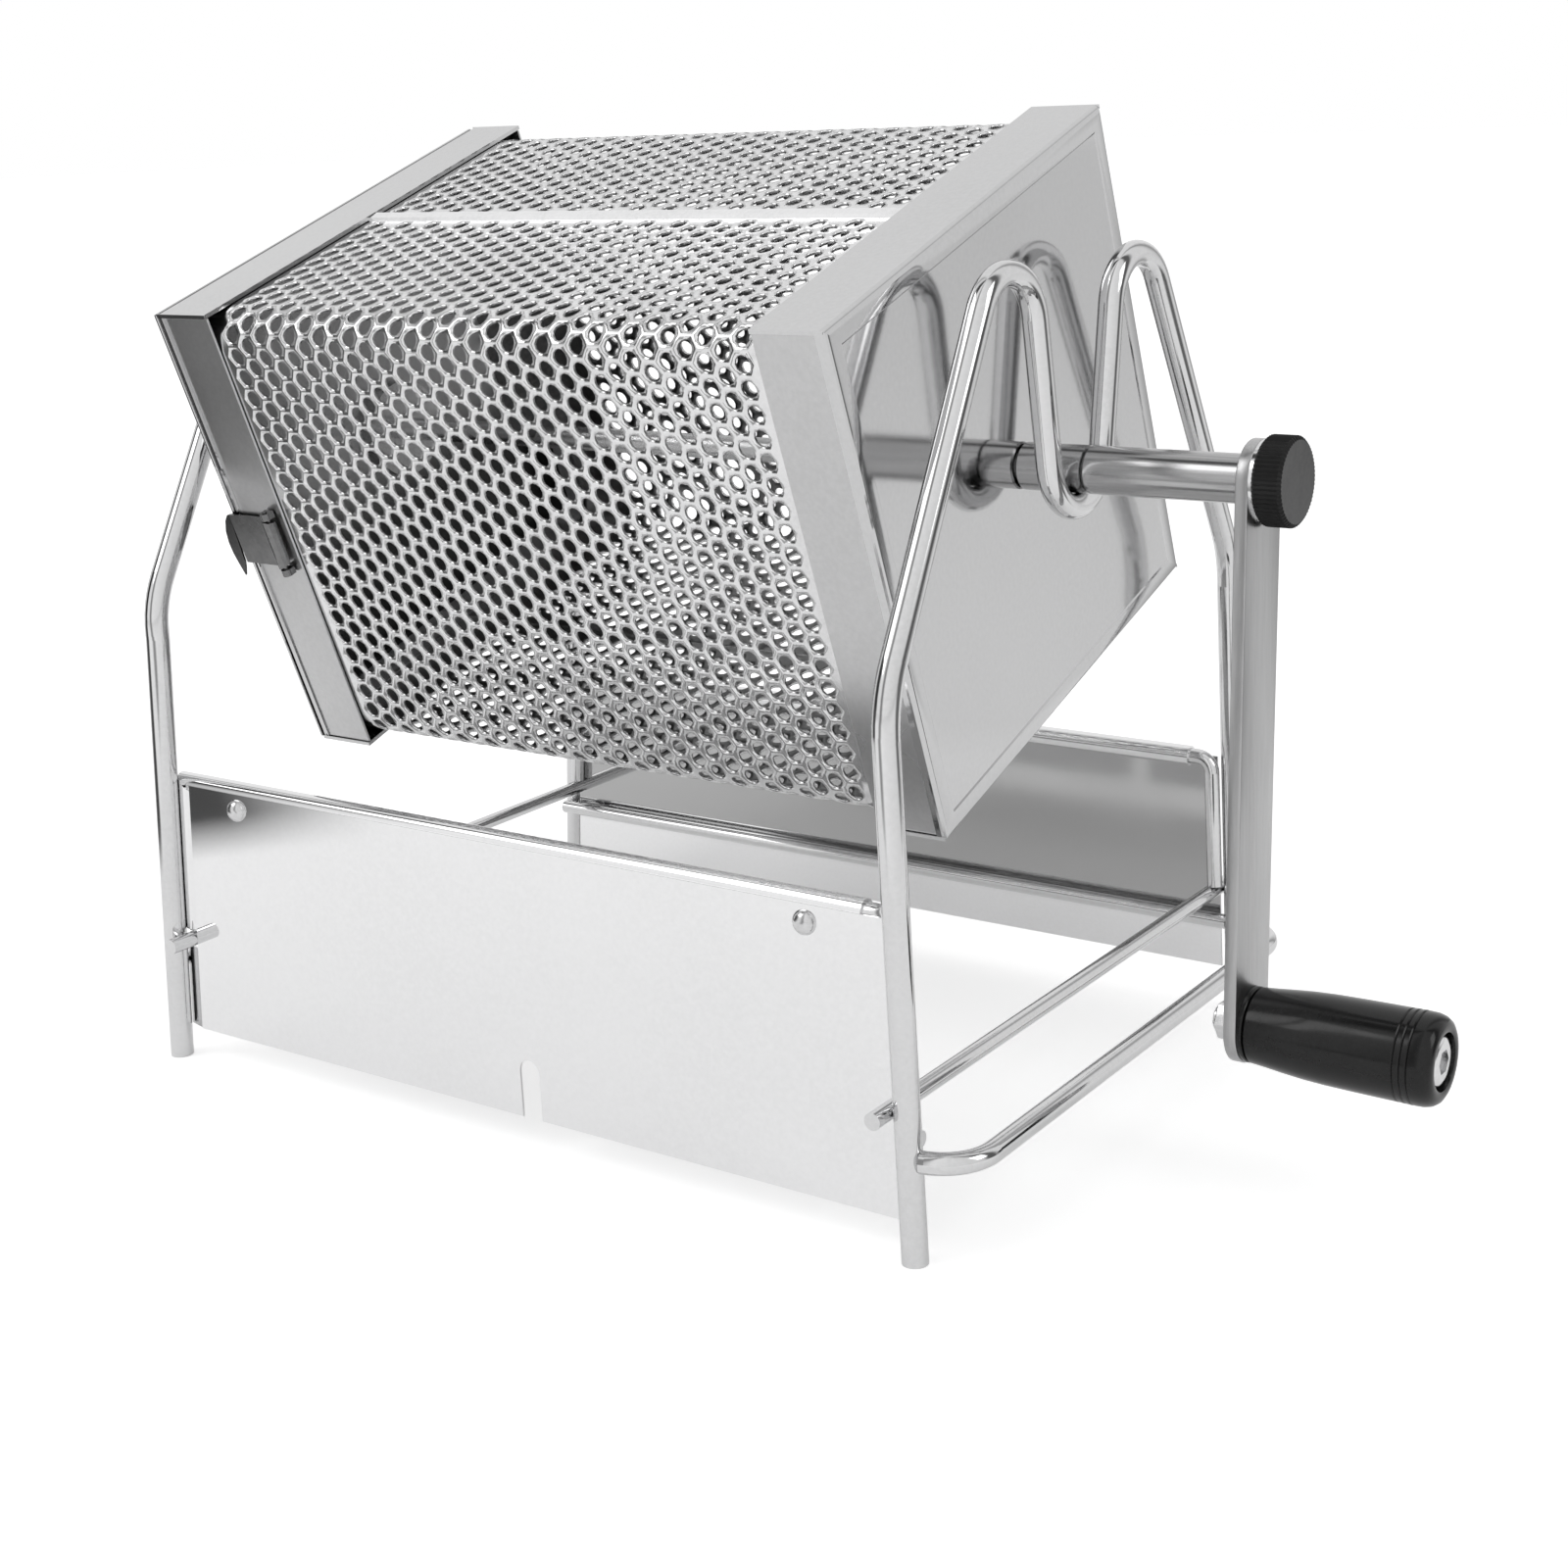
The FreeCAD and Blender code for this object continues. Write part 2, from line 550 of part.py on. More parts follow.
# ---------------------------------------------------------------- mixing paddles, welded to the axle
for name, x, turn in (("upper", "-paddle_place", 0), ("lower", "paddle_place", 180)):
    blade = block(f"{name}_blade", "paddle_sheet", "paddle_width", "paddle_reach - axle_size / 4",
                  "-paddle_sheet / 2", "-paddle_width / 2", "axle_size / 4")
    twisted = doc.addObject("Part::Compound", f"{name}_blade_twisted")
    twisted.Links = [blade]
    twisted.Placement = FreeCAD.Placement(Vector(), FreeCAD.Rotation(Z_AXIS, 1))
    bind(twisted, Placement__Rotation__Angle="paddle_twist")
    axle_room = rod(f"{name}_axle_room", "axle_size", "4 * paddle_width", "-2 * paddle_width")
    trimmed = cut(f"{name}_blade_trimmed", twisted, axle_room)
    paddle = doc.addObject("Part::Compound", f"{name}_paddle_turned")
    paddle.Links = [trimmed]
    paddle.Placement = FreeCAD.Placement(Vector(), FreeCAD.Rotation(X_AXIS, turn))
    place(paddle, x=x)
    on_drum(paddle, f"{name}_mixing_paddle")

# ---------------------------------------------------------------- crank
ARM_OUT = "arm_inside + arm_sheet"
web = block("arm_web", "arm_sheet", "arm_width", "crank_throw", "arm_inside", "-arm_width / 2",
            "-crank_throw")
top_end = rod("arm_top", "arm_width", "arm_sheet", "arm_inside")
low_end = rod("arm_low", "arm_width", "arm_sheet", "arm_inside", z="-crank_throw")
arm = fused("arm_blank", web, top_end, low_end)
arm_holes = fused("arm_holes",
                  rod("arm_stud_hole", "stud_size + 2 * fit_play", "3 * arm_sheet",
                      "arm_inside - arm_sheet"),
                  rod("arm_bolt_hole", "bolt_size + 2 * fit_play", "3 * arm_sheet",
                      "arm_inside - arm_sheet", z="-crank_throw"))
on_drum(cut("arm_solid", arm, arm_holes), "crank_arm", "crank_angle")

washer = cut("knob_washer_ring", rod("knob_washer_disc", "washer_size", "washer_sheet", ARM_OUT),
             rod("knob_washer_hole", "stud_size + 2 * fit_play", "washer_sheet", ARM_OUT))
on_drum(washer, "knob_washer", "crank_angle")

KNOB_IN = "arm_inside + arm_sheet + washer_sheet"
knob_body = fused("knob_blank",
                  cone("knob_back", "knob_size - 2 * knob_chamfer", "knob_size", "knob_chamfer", KNOB_IN),
                  rod("knob_rim", "knob_size", "knob_length - 2 * knob_chamfer",
                      f"{KNOB_IN} + knob_chamfer"),
                  cone("knob_front", "knob_size", "knob_size - 2 * knob_chamfer", "knob_chamfer",
                       f"{KNOB_IN} + knob_length - knob_chamfer"))
knob_bore = rod("knob_bore", "stud_size + 2 * fit_play", "knob_length - 2", KNOB_IN)
on_drum(cut("knob_solid", knob_body, knob_bore), "clamp_knob", "crank_angle")

# ---------------------------------------------------------------- handle
GRIP_IN = "arm_inside + arm_sheet + collar_sheet + grip_play"
LOW = "-crank_throw"
collar_ring = cut("grip_collar_ring",
                  rod("grip_collar_disc", "grip_root_size", "collar_sheet", ARM_OUT, z=LOW),
                  rod("grip_collar_hole", "bolt_size + 2 * fit_play", "collar_sheet", ARM_OUT, z=LOW))
on_drum(collar_ring, "grip_washer", "crank_angle")

SWELL = "grip_length * 0.4"
grip_blank = fused("grip_blank",
                   cone("grip_root", "grip_root_size", "grip_middle_size", SWELL, GRIP_IN, z=LOW),
                   cone("grip_swell", "grip_middle_size", "grip_end_size",
                        f"grip_length - {SWELL} - grip_rounding", f"{GRIP_IN} + {SWELL}", z=LOW),
                   cone("grip_tip", "grip_end_size", "grip_end_size - grip_rounding", "grip_rounding",
                        f"{GRIP_IN} + grip_length - grip_rounding", z=LOW))
grip_voids = fused("grip_voids",
                   rod("grip_hole", "grip_bore", "grip_length", GRIP_IN, z=LOW),
                   rod("grip_well", "grip_recess", "recess_depth",
                       f"{GRIP_IN} + grip_length - recess_depth", z=LOW))
on_drum(cut("grip_solid", grip_blank, grip_voids), "grip_handle", "crank_angle")

HEAD_IN = f"{GRIP_IN} + grip_length - recess_depth + grip_play"
bolt = fused("bolt_blank",
             rod("bolt_shank", "bolt_size", f"{HEAD_IN} - arm_inside + nut_length + bolt_overhang",
                 "arm_inside - nut_length - bolt_overhang", z=LOW),
             rod("bolt_cap", "bolt_head_size", "bolt_head", HEAD_IN, z=LOW))
on_drum(bolt, "grip_bolt", "crank_angle")

nut_blank = fused("nut_blank",
                  rod("nut_body", "nut_size", "nut_length", "arm_inside - nut_length", z=LOW),
                  rod("nut_flange", "nut_face", "nut_length / 4", "arm_inside - nut_length / 4", z=LOW))
nut = cut("nut_solid", nut_blank, rod("nut_thread", "bolt_size + 2 * fit_play", "nut_length",
                                      "arm_inside - nut_length", z=LOW))
on_drum(nut, "grip_nut", "crank_angle")

# ---------------------------------------------------------------- lid latch, on the front flange
FLANGE = "(-drum_side / 2)"
PIN_X = f"({NEAR_CAP} + latch_reach)"
PIN_Y = f"({FLANGE} - latch_eye / 2 - latch_play)"
ears = []
for name, low in (("lower", "-(latch_width / 2 + latch_ear + latch_play)"),
                  ("upper", "latch_width / 2 + latch_play")):
    eye = rod(f"latch_ear_{name}", "latch_eye", "latch_ear", PIN_X, PIN_Y, low, Z_AXIS)
    foot = block(f"latch_ear_foot_{name}", "latch_eye", f"{FLANGE} - {PIN_Y}", "latch_ear",
                 f"{PIN_X} - latch_eye / 2", PIN_Y, low)
    ears += [eye, foot]
ear_bore = rod("latch_ear_bore", "latch_pin_size + 2 * fit_play", "2 * latch_width", PIN_X, PIN_Y,
               "-latch_width", Z_AXIS)
on_drum(cut("latch_ear_pair", fused("latch_ear_blanks", *ears), ear_bore), "latch_ears")
PIN_HALF = "(latch_width / 2 + latch_ear + latch_play + latch_pin_overhang)"
latch_pin = rod("latch_pin_rod", "latch_pin_size", f"2 * {PIN_HALF}", PIN_X, PIN_Y, f"-{PIN_HALF}", Z_AXIS)
on_drum(latch_pin, "latch_pin")

LEAF_IN = f"({FLANGE} - latch_play)"
LEAF_OUT = f"({LEAF_IN} - latch_sheet)"
HOOK_X = f"({NEAR_CAP} - latch_stand_off)"
leaf = fused("latch_leaf_blank",
             rod("latch_barrel", "latch_eye", "latch_width", PIN_X, PIN_Y, "-latch_width / 2", Z_AXIS),
             block("latch_tab", "latch_reach + latch_stand_off", "latch_sheet", "latch_width", HOOK_X,
                   LEAF_OUT, "-latch_width / 2"),
             block("latch_catch", "latch_sheet", "latch_hook + latch_sheet + latch_play", "latch_width",
                   f"{NEAR_CAP} - latch_sheet - latch_play", LEAF_OUT, "-latch_width / 2"))
leaf_bore = rod("latch_leaf_bore", "latch_pin_size + 2 * running_play", "latch_width", PIN_X, PIN_Y,
                "-latch_width / 2", Z_AXIS)
on_drum(cut("latch_leaf_solid", leaf, leaf_bore), "latch_leaf")

# ---------------------------------------------------------------- lid hinge, on the back flange
HINGE_X = f"{NEAR_CAP} + hinge_eye / 2"
HINGE_Y = "drum_side / 2 + hinge_eye / 2 + latch_sheet"
knuckle = "hinge_width / 3"
frame_eyes = []
for name, low in (("lower", "-hinge_width / 2"), ("upper", "hinge_width / 6 + 0.2")):
    frame_eyes.append(rod(f"hinge_eye_{name}", "hinge_eye", f"{knuckle} - 0.2", HINGE_X, HINGE_Y, low,
                          Z_AXIS))
frame_leaf = block("hinge_frame_plate", "hinge_leaf", "latch_sheet", "hinge_width",
                   f"{HINGE_X} + hinge_eye / 2", "drum_side / 2", "-hinge_width / 2")
webs = []
for name, low in (("lower", "-hinge_width / 2"), ("upper", "hinge_width / 6 + 0.2")):
    webs.append(block(f"hinge_web_{name}", "hinge_eye / 2 + 1", "hinge_eye / 2 + latch_sheet",
                      f"{knuckle} - 0.2", HINGE_X, "drum_side / 2", low))
hinge_bore = rod("hinge_frame_bore", "hinge_pin_size + 2 * fit_play", "2 * hinge_width", HINGE_X, HINGE_Y,
                 "-hinge_width", Z_AXIS)
on_drum(cut("hinge_frame_solid", fused("hinge_frame_blank", frame_leaf, *frame_eyes, *webs), hinge_bore),
        "hinge_frame_leaf")
door_eye = rod("hinge_door_eye", "hinge_eye", f"{knuckle} - 0.2", HINGE_X, HINGE_Y,
               "-hinge_width / 6 + 0.1", Z_AXIS)
door_arm = block("hinge_door_arm", "latch_sheet", "hinge_eye / 2 + 2 * latch_sheet + hinge_leaf",
                 f"{knuckle} - 0.2", f"{NEAR_CAP} - latch_sheet",
                 "drum_side / 2 - hinge_leaf - latch_sheet", "-hinge_width / 6 + 0.1")
door_web = block("hinge_door_web", "hinge_eye / 2 + latch_sheet", "hinge_eye / 2", f"{knuckle} - 0.2",
                 f"{NEAR_CAP} - latch_sheet", "drum_side / 2 + latch_sheet", "-hinge_width / 6 + 0.1")
door_bore_pin = rod("hinge_door_bore", "hinge_pin_size + 2 * fit_play", "hinge_width", HINGE_X, HINGE_Y,
                    "-hinge_width / 2", Z_AXIS)
on_drum(cut("hinge_door_solid", fused("hinge_door_blank", door_eye, door_arm, door_web), door_bore_pin),
        "hinge_door_leaf")
on_drum(rod("hinge_pin_rod", "hinge_pin_size", "hinge_width + 1", HINGE_X, HINGE_Y,
            "-(hinge_width + 1) / 2", Z_AXIS), "hinge_pin")

# ---------------------------------------------------------------- check and write
doc.recompute()
for thing in doc.Objects:
    faults = [state for state in thing.State if state in ("Invalid", "Error")]
    if faults:
        raise RuntimeError(f"{thing.Name} is {faults[0]}")
os.makedirs("parts", exist_ok=True)
for label, made in NODES.items():
    if made.Shape.isNull() or not made.Shape.isValid():
        raise RuntimeError(f"{label} has a bad shape")
    made.Shape.exportStep(f"parts/{label}.step")
    print(f"{label:20s} {len(made.Shape.Solids)} solid(s) {made.Shape.Volume:10.1f} mm3")
print(len(NODES), "nodes")
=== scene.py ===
from math import cos, pi, radians, sin, sqrt, tan

import bmesh
import bpy
from mathutils import Matrix, Vector


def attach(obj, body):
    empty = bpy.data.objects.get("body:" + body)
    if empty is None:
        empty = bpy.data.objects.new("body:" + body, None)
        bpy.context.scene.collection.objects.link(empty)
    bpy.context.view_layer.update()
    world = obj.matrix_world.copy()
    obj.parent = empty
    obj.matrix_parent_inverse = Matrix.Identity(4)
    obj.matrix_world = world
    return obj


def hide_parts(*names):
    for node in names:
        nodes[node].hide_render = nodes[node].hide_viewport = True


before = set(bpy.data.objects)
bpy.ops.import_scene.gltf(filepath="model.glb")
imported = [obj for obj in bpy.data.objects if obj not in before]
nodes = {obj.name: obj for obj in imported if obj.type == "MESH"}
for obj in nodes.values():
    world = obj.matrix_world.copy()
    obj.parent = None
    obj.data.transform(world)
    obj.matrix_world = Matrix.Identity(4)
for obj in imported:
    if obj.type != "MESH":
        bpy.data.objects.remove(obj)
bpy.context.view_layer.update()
mm = 0.001

# ---------------------------------------------------------------- camera
# A long lens stands off the front right corner, a little above the crank. It leans over by two
# degrees, and its small shift puts the roaster right of and above the middle.
aim = Vector((-9.94, 19.76, 90.74)) * mm
distance = 602.3 * mm
azimuth = radians(34.525)
elevation = radians(14.426)
roll = radians(-2.208)
back = Vector((sin(azimuth) * cos(elevation), -cos(azimuth) * cos(elevation), sin(elevation)))
level_right = Vector((cos(azimuth), sin(azimuth), 0))
level_up = back.cross(level_right)
lens_right = cos(roll) * level_right + sin(roll) * level_up
lens_up = cos(roll) * level_up - sin(roll) * level_right
lens = bpy.data.cameras.new("long_lens")
lens.lens = 53.19
lens.sensor_width = 36
lens.shift_x = -0.0354
lens.shift_y = -0.0514
lens.clip_start = 0.01
camera = bpy.data.objects.new("camera", lens)
camera_axes = Matrix((lens_right, lens_up, back)).transposed().to_4x4()
camera.matrix_world = Matrix.Translation(aim + back * distance) @ camera_axes
bpy.context.scene.collection.objects.link(camera)
bpy.context.scene.camera = camera
bpy.context.scene.view_settings.view_transform = "Standard"

# ---------------------------------------------------------------- studio
# A wide pale table in a pale room, with a large softbox on the left and a smaller one on the
# right. Grey screens stand round the table so that bright metal has something to show: its
# mirror rays see them in the room, and in the table further off than the screens' near distance.
screens_near, screens_full = 0.35, 0.4
pale_by_roaster = (0.92, 0.92, 0.92, 1)
table_grey = (0.86, 0.86, 0.86, 1)
table_half = 12
camera_lift, mirror_lift = 0.45, 0.12


def grey_screens():
    """How bright the studio is in each direction round the table, with its grey screens."""
    group = bpy.data.node_groups.new("grey_screens", "ShaderNodeTree")
    group.interface.new_socket("Direction", in_out="INPUT", socket_type="NodeSocketVector")
    group.interface.new_socket("Brightness", in_out="OUTPUT", socket_type="NodeSocketFloat")
    taken = group.nodes.new("NodeGroupInput")
    given = group.nodes.new("NodeGroupOutput")
    compass = group.nodes.new("ShaderNodeTexGradient")
    compass.gradient_type = "RADIAL"
    group.links.new(taken.outputs["Direction"], compass.inputs["Vector"])
    round_table = group.nodes.new("ShaderNodeValToRGB")
    group.links.new(compass.outputs["Fac"], round_table.inputs["Fac"])
    stops = round_table.color_ramp.elements
    stops[0].position, stops[1].position = 0.0, 1.0
    for stop in stops:
        stop.color = (0.85, 0.85, 0.85, 1)
    for place, level in ((0.01, 0.9), (0.04, 0.06), (0.102, 0.03), (0.125, 0.95), (0.185, 0.95),
                         (0.21, 0.3), (0.235, 0.3), (0.265, 1.0), (0.4, 0.9),
                         (0.52, 0.8), (0.55, 0.12), (0.59, 0.12), (0.62, 0.85), (0.68, 0.85),
                         (0.71, 0.35), (0.76, 0.9), (0.94, 0.9), (0.965, 0.35), (0.985, 0.9)):
        stop = stops.new(place)
        stop.color = (level, level, level, 1)
    group.links.new(round_table.outputs["Color"], given.inputs["Brightness"])
    return group


def softbox(name, place, width, height, power):
    """A rectangular lamp that faces the roaster."""
    light = bpy.data.lights.new(name, "AREA")
    light.shape = "RECTANGLE"
    light.size = width
    light.size_y = height
    light.energy = power
    lamp = bpy.data.objects.new(name, light)
    away_from_roaster = (Vector(place) - Vector((0, 0, 0.1))).to_track_quat("Z", "Y")
    lamp.matrix_world = Matrix.Translation(place) @ away_from_roaster.to_matrix().to_4x4()
    bpy.context.scene.collection.objects.link(lamp)


def fed(tree, kind, *sources):
    """The output of a new node whose first inputs are fed by other outputs."""
    node = tree.nodes.new(kind)
    for source, socket in zip(sources, node.inputs[:]):
        tree.links.new(source, socket)
    return node.outputs[0]


def glow(tree, kind, strength, colour=None):
    """The output of a new emission or background, white unless a colour is fed in."""
    node = tree.nodes.new(kind)
    node.inputs["Color"].default_value = (1, 1, 1, 1)
    node.inputs["Strength"].default_value = strength
    if colour is not None:
        tree.links.new(colour, node.inputs["Color"])
    return node.outputs[0]


def screened(tree, direction):
    """The output of the grey screens' brightness in a direction."""
    effect = tree.nodes.new("ShaderNodeGroup")
    effect.node_tree = screens
    tree.links.new(direction, effect.inputs["Direction"])
    return effect.outputs["Brightness"]


screens = grey_screens()
softbox("left_softbox", (-0.9, -0.9, 1.2), 0.9, 0.9, 5)
softbox("right_softbox", (1.2, 0.1, 0.9), 0.5, 0.8, 2.5)

room = bpy.data.worlds.new("pale_room")
bpy.context.scene.world = room
room.use_nodes = True
walls = room.node_tree
walls.nodes.clear()
ray = walls.nodes.new("ShaderNodeLightPath")
direction = walls.nodes.new("ShaderNodeTexCoord")
soft_room = glow(walls, "ShaderNodeBackground", 0.75)
screened_room = glow(walls, "ShaderNodeBackground", 1.0, screened(walls, direction.outputs["Generated"]))
white_room = glow(walls, "ShaderNodeBackground", 1.0)
mirrored = fed(walls, "ShaderNodeMixShader", ray.outputs["Is Glossy Ray"], soft_room, screened_room)
seen = fed(walls, "ShaderNodeMath", ray.outputs["Is Camera Ray"], ray.outputs["Is Transmission Ray"])
seen.node.operation = "MAXIMUM"
shown = fed(walls, "ShaderNodeMixShader", seen, mirrored, white_room)
room_out = walls.nodes.new("ShaderNodeOutputWorld")
walls.links.new(shown, room_out.inputs["Surface"])

table_mesh = bmesh.new()
bmesh.ops.create_grid(table_mesh, x_segments=1, y_segments=1, size=table_half)
table_data = bpy.data.meshes.new("table_top")
table_mesh.to_mesh(table_data)
table_mesh.free()
table = bpy.data.objects.new("table_top", table_data)
bpy.context.scene.collection.objects.link(table)
table_paint = bpy.data.materials.new("pale_table")
table_paint.use_nodes = True
paint = table_paint.node_tree
paint_shader = paint.nodes["Principled BSDF"]
paint_shader.inputs["Roughness"].default_value = 0.9
paint_ray = paint.nodes.new("ShaderNodeLightPath")
paint_place = paint.nodes.new("ShaderNodeTexCoord")
away = paint.nodes.new("ShaderNodeVectorMath")
away.operation = "LENGTH"
paint.links.new(paint_place.outputs["Object"], away.inputs[0])
beyond = paint.nodes.new("ShaderNodeMapRange")
beyond.inputs["From Min"].default_value = screens_near
beyond.inputs["From Max"].default_value = screens_full
paint.links.new(away.outputs["Value"], beyond.inputs["Value"])
reflected = paint.nodes.new("ShaderNodeMix")
reflected.data_type = "RGBA"
reflected.inputs["A"].default_value = pale_by_roaster
paint.links.new(beyond.outputs["Result"], reflected.inputs["Factor"])
paint.links.new(screened(paint, paint_place.outputs["Object"]), reflected.inputs["B"])
paint_tone = paint.nodes.new("ShaderNodeMix")
paint_tone.data_type = "RGBA"
paint_tone.inputs["A"].default_value = table_grey
paint.links.new(paint_ray.outputs["Is Glossy Ray"], paint_tone.inputs["Factor"])
paint.links.new(reflected.outputs["Result"], paint_tone.inputs["B"])
paint.links.new(paint_tone.outputs["Result"], paint_shader.inputs["Base Color"])
bare_paint = paint_shader.outputs["BSDF"]
for_camera = fed(paint, "ShaderNodeAddShader", bare_paint,
                 glow(paint, "ShaderNodeEmission", camera_lift))
for_mirrors = fed(paint, "ShaderNodeAddShader", bare_paint,
                  glow(paint, "ShaderNodeEmission", mirror_lift, reflected.outputs["Result"]))
mirror_share, camera_share = paint_ray.outputs["Is Glossy Ray"], paint_ray.outputs["Is Camera Ray"]
unseen = fed(paint, "ShaderNodeMixShader", mirror_share, bare_paint, for_mirrors)
painted = fed(paint, "ShaderNodeMixShader", camera_share, unseen, for_camera)
paint.links.new(painted, paint.nodes["Material Output"].inputs["Surface"])
table.data.materials.append(table_paint)

# ---------------------------------------------------------------- wire stand
# The end frames, bars, rails, hoop and panel wires are drawn steel wire, bent cold, welded where
# they touch and plated bright. The plating is smooth, with faint drawing marks.


def surface_marks():
    """Faint clouds and fine grain in a metal's colour, roughness and height."""
    group = bpy.data.node_groups.new("surface_marks", "ShaderNodeTree")
    for name, kind in (("Vector", "NodeSocketVector"), ("Grain Scale", "NodeSocketFloat"),
                       ("Cloud Scale", "NodeSocketFloat"), ("Smoothest", "NodeSocketFloat"),
                       ("Roughest", "NodeSocketFloat"), ("Light", "NodeSocketColor"),
                       ("Dark", "NodeSocketColor")):
        group.interface.new_socket(name, in_out="INPUT", socket_type=kind)
    for name, kind in (("Colour", "NodeSocketColor"), ("Roughness", "NodeSocketFloat"),
                       ("Height", "NodeSocketFloat")):
        group.interface.new_socket(name, in_out="OUTPUT", socket_type=kind)
    taken = group.nodes.new("NodeGroupInput")
    given = group.nodes.new("NodeGroupOutput")
    clouds = group.nodes.new("ShaderNodeTexNoise")
    clouds.inputs["Detail"].default_value = 3
    group.links.new(taken.outputs["Vector"], clouds.inputs["Vector"])
    group.links.new(taken.outputs["Cloud Scale"], clouds.inputs["Scale"])
    grain = group.nodes.new("ShaderNodeTexNoise")
    grain.inputs["Detail"].default_value = 2
    group.links.new(taken.outputs["Vector"], grain.inputs["Vector"])
    group.links.new(taken.outputs["Grain Scale"], grain.inputs["Scale"])
    polish = group.nodes.new("ShaderNodeMapRange")
    polish.inputs["From Min"].default_value = 0.35
    polish.inputs["From Max"].default_value = 0.65
    group.links.new(clouds.outputs["Fac"], polish.inputs["Value"])
    group.links.new(taken.outputs["Smoothest"], polish.inputs["To Min"])
    group.links.new(taken.outputs["Roughest"], polish.inputs["To Max"])
    both = group.nodes.new("ShaderNodeMath")
    both.operation = "MULTIPLY"
    both.use_clamp = True
    group.links.new(grain.outputs["Fac"], both.inputs[0])
    group.links.new(clouds.outputs["Fac"], both.inputs[1])
    tone = group.nodes.new("ShaderNodeMapRange")
    tone.inputs["From Min"].default_value = 0.12
    tone.inputs["From Max"].default_value = 0.42
    group.links.new(both.outputs[0], tone.inputs["Value"])
    colour = group.nodes.new("ShaderNodeMix")
    colour.data_type = "RGBA"
    group.links.new(tone.outputs["Result"], colour.inputs["Factor"])
    group.links.new(taken.outputs["Light"], colour.inputs["A"])
    group.links.new(taken.outputs["Dark"], colour.inputs["B"])
    group.links.new(colour.outputs["Result"], given.inputs["Colour"])
    group.links.new(polish.outputs["Result"], given.inputs["Roughness"])
    group.links.new(grain.outputs["Fac"], given.inputs["Height"])
    return group


marks = surface_marks()


def finish(name, light, dark, smoothest, roughest, stretch=(1, 1, 1), turn=0.0, grain=900, clouds=30,
           relief=0.05, metallic=1.0, gloss=0.5):
    """A finish between two greys and two roughnesses, its grain drawn out along an axis."""
    coolness = 1.006
    made = bpy.data.materials.new(name)
    made.use_nodes = True
    tree = made.node_tree
    shader = tree.nodes["Principled BSDF"]
    shader.inputs["Metallic"].default_value = metallic
    shader.inputs["Specular IOR Level"].default_value = gloss
    place = tree.nodes.new("ShaderNodeTexCoord")
    mapping = tree.nodes.new("ShaderNodeMapping")
    mapping.inputs["Rotation"].default_value = (radians(turn), 0, 0)
    mapping.inputs["Scale"].default_value = stretch
    effect = tree.nodes.new("ShaderNodeGroup")
    effect.node_tree = marks
    effect.inputs["Grain Scale"].default_value = grain
    effect.inputs["Cloud Scale"].default_value = clouds
    effect.inputs["Smoothest"].default_value = smoothest
    effect.inputs["Roughest"].default_value = roughest
    effect.inputs["Light"].default_value = (light, light, light * coolness, 1)
    effect.inputs["Dark"].default_value = (dark, dark, dark * coolness, 1)
    bump = tree.nodes.new("ShaderNodeBump")
    bump.inputs["Strength"].default_value = relief
    bump.inputs["Distance"].default_value = 0.05 * mm
    tree.links.new(place.outputs["Object"], mapping.inputs["Vector"])
    tree.links.new(mapping.outputs["Vector"], effect.inputs["Vector"])
    tree.links.new(effect.outputs["Colour"], shader.inputs["Base Color"])
    tree.links.new(effect.outputs["Roughness"], shader.inputs["Roughness"])
    tree.links.new(effect.outputs["Height"], bump.inputs["Height"])
    tree.links.new(bump.outputs["Normal"], shader.inputs["Normal"])
    return made


def dress(material, *node_names):
    """Give some CAD nodes their finish."""
    for name in node_names:
        nodes[name].data.materials.clear()
        nodes[name].data.materials.append(material)


dress(finish("bright_wire", 0.72, 0.67, 0.07, 0.12, relief=0.02), "right_wire_frame", "left_wire_frame",
      "left_side_bar", "right_side_bar", "right_lower_hoop", "front_rail", "back_rail",
      "front_panel_wire", "back_panel_wire")

# ---------------------------------------------------------------- wind panels
# Two mirror bright stainless sheets keep the wind off the flame. Their inner sides carry painted reflection
# and shade: bright below the rail and darker grey above it, where they would mirror the drum's shaded
# underside. Each hangs by a hem that is rolled round its wire and has a notch in its lower edge, and the
# front one's left edge is rolled too.
stand_middle = -40.8413 * mm
shoulder_height = 117 * mm
left_reach, left_splay = 109.5 * mm, radians(4.5)
right_reach, right_splay = 112 * mm, radians(1.5)
wire_y = 78 * mm
hem_radius = 2.35 * mm
hem_wrap = radians(268)
hem_end_inset = 10 * mm
panel_sheet = 0.6 * mm
leg_clearance = 3.4 * mm
notch_middle = 6 * mm + stand_middle
notch_half = 3 * mm
notch_height = 15 * mm
roll_inset = 4 * mm
roll_foot = 36.4 * mm
rolled_flat_inset = 7 * mm
strip_top = 31.2 * mm
strip_near, strip_far = (1.2 * mm, 78.6 * mm), (6.7 * mm, 79.9 * mm)
mirror_sheet = finish("mirror_sheet", 0.87, 0.83, 0.05, 0.08, clouds=18, relief=0.015)
# Painted reflection and shade for the panels' inner sides: lighter than the outer sheet below the rail,
# darker grey above it.
panel_inside_painted_reflection = finish("panel_inside_painted_reflection", 0.97, 0.93, 0.06, 0.1, clouds=18, relief=0.015)


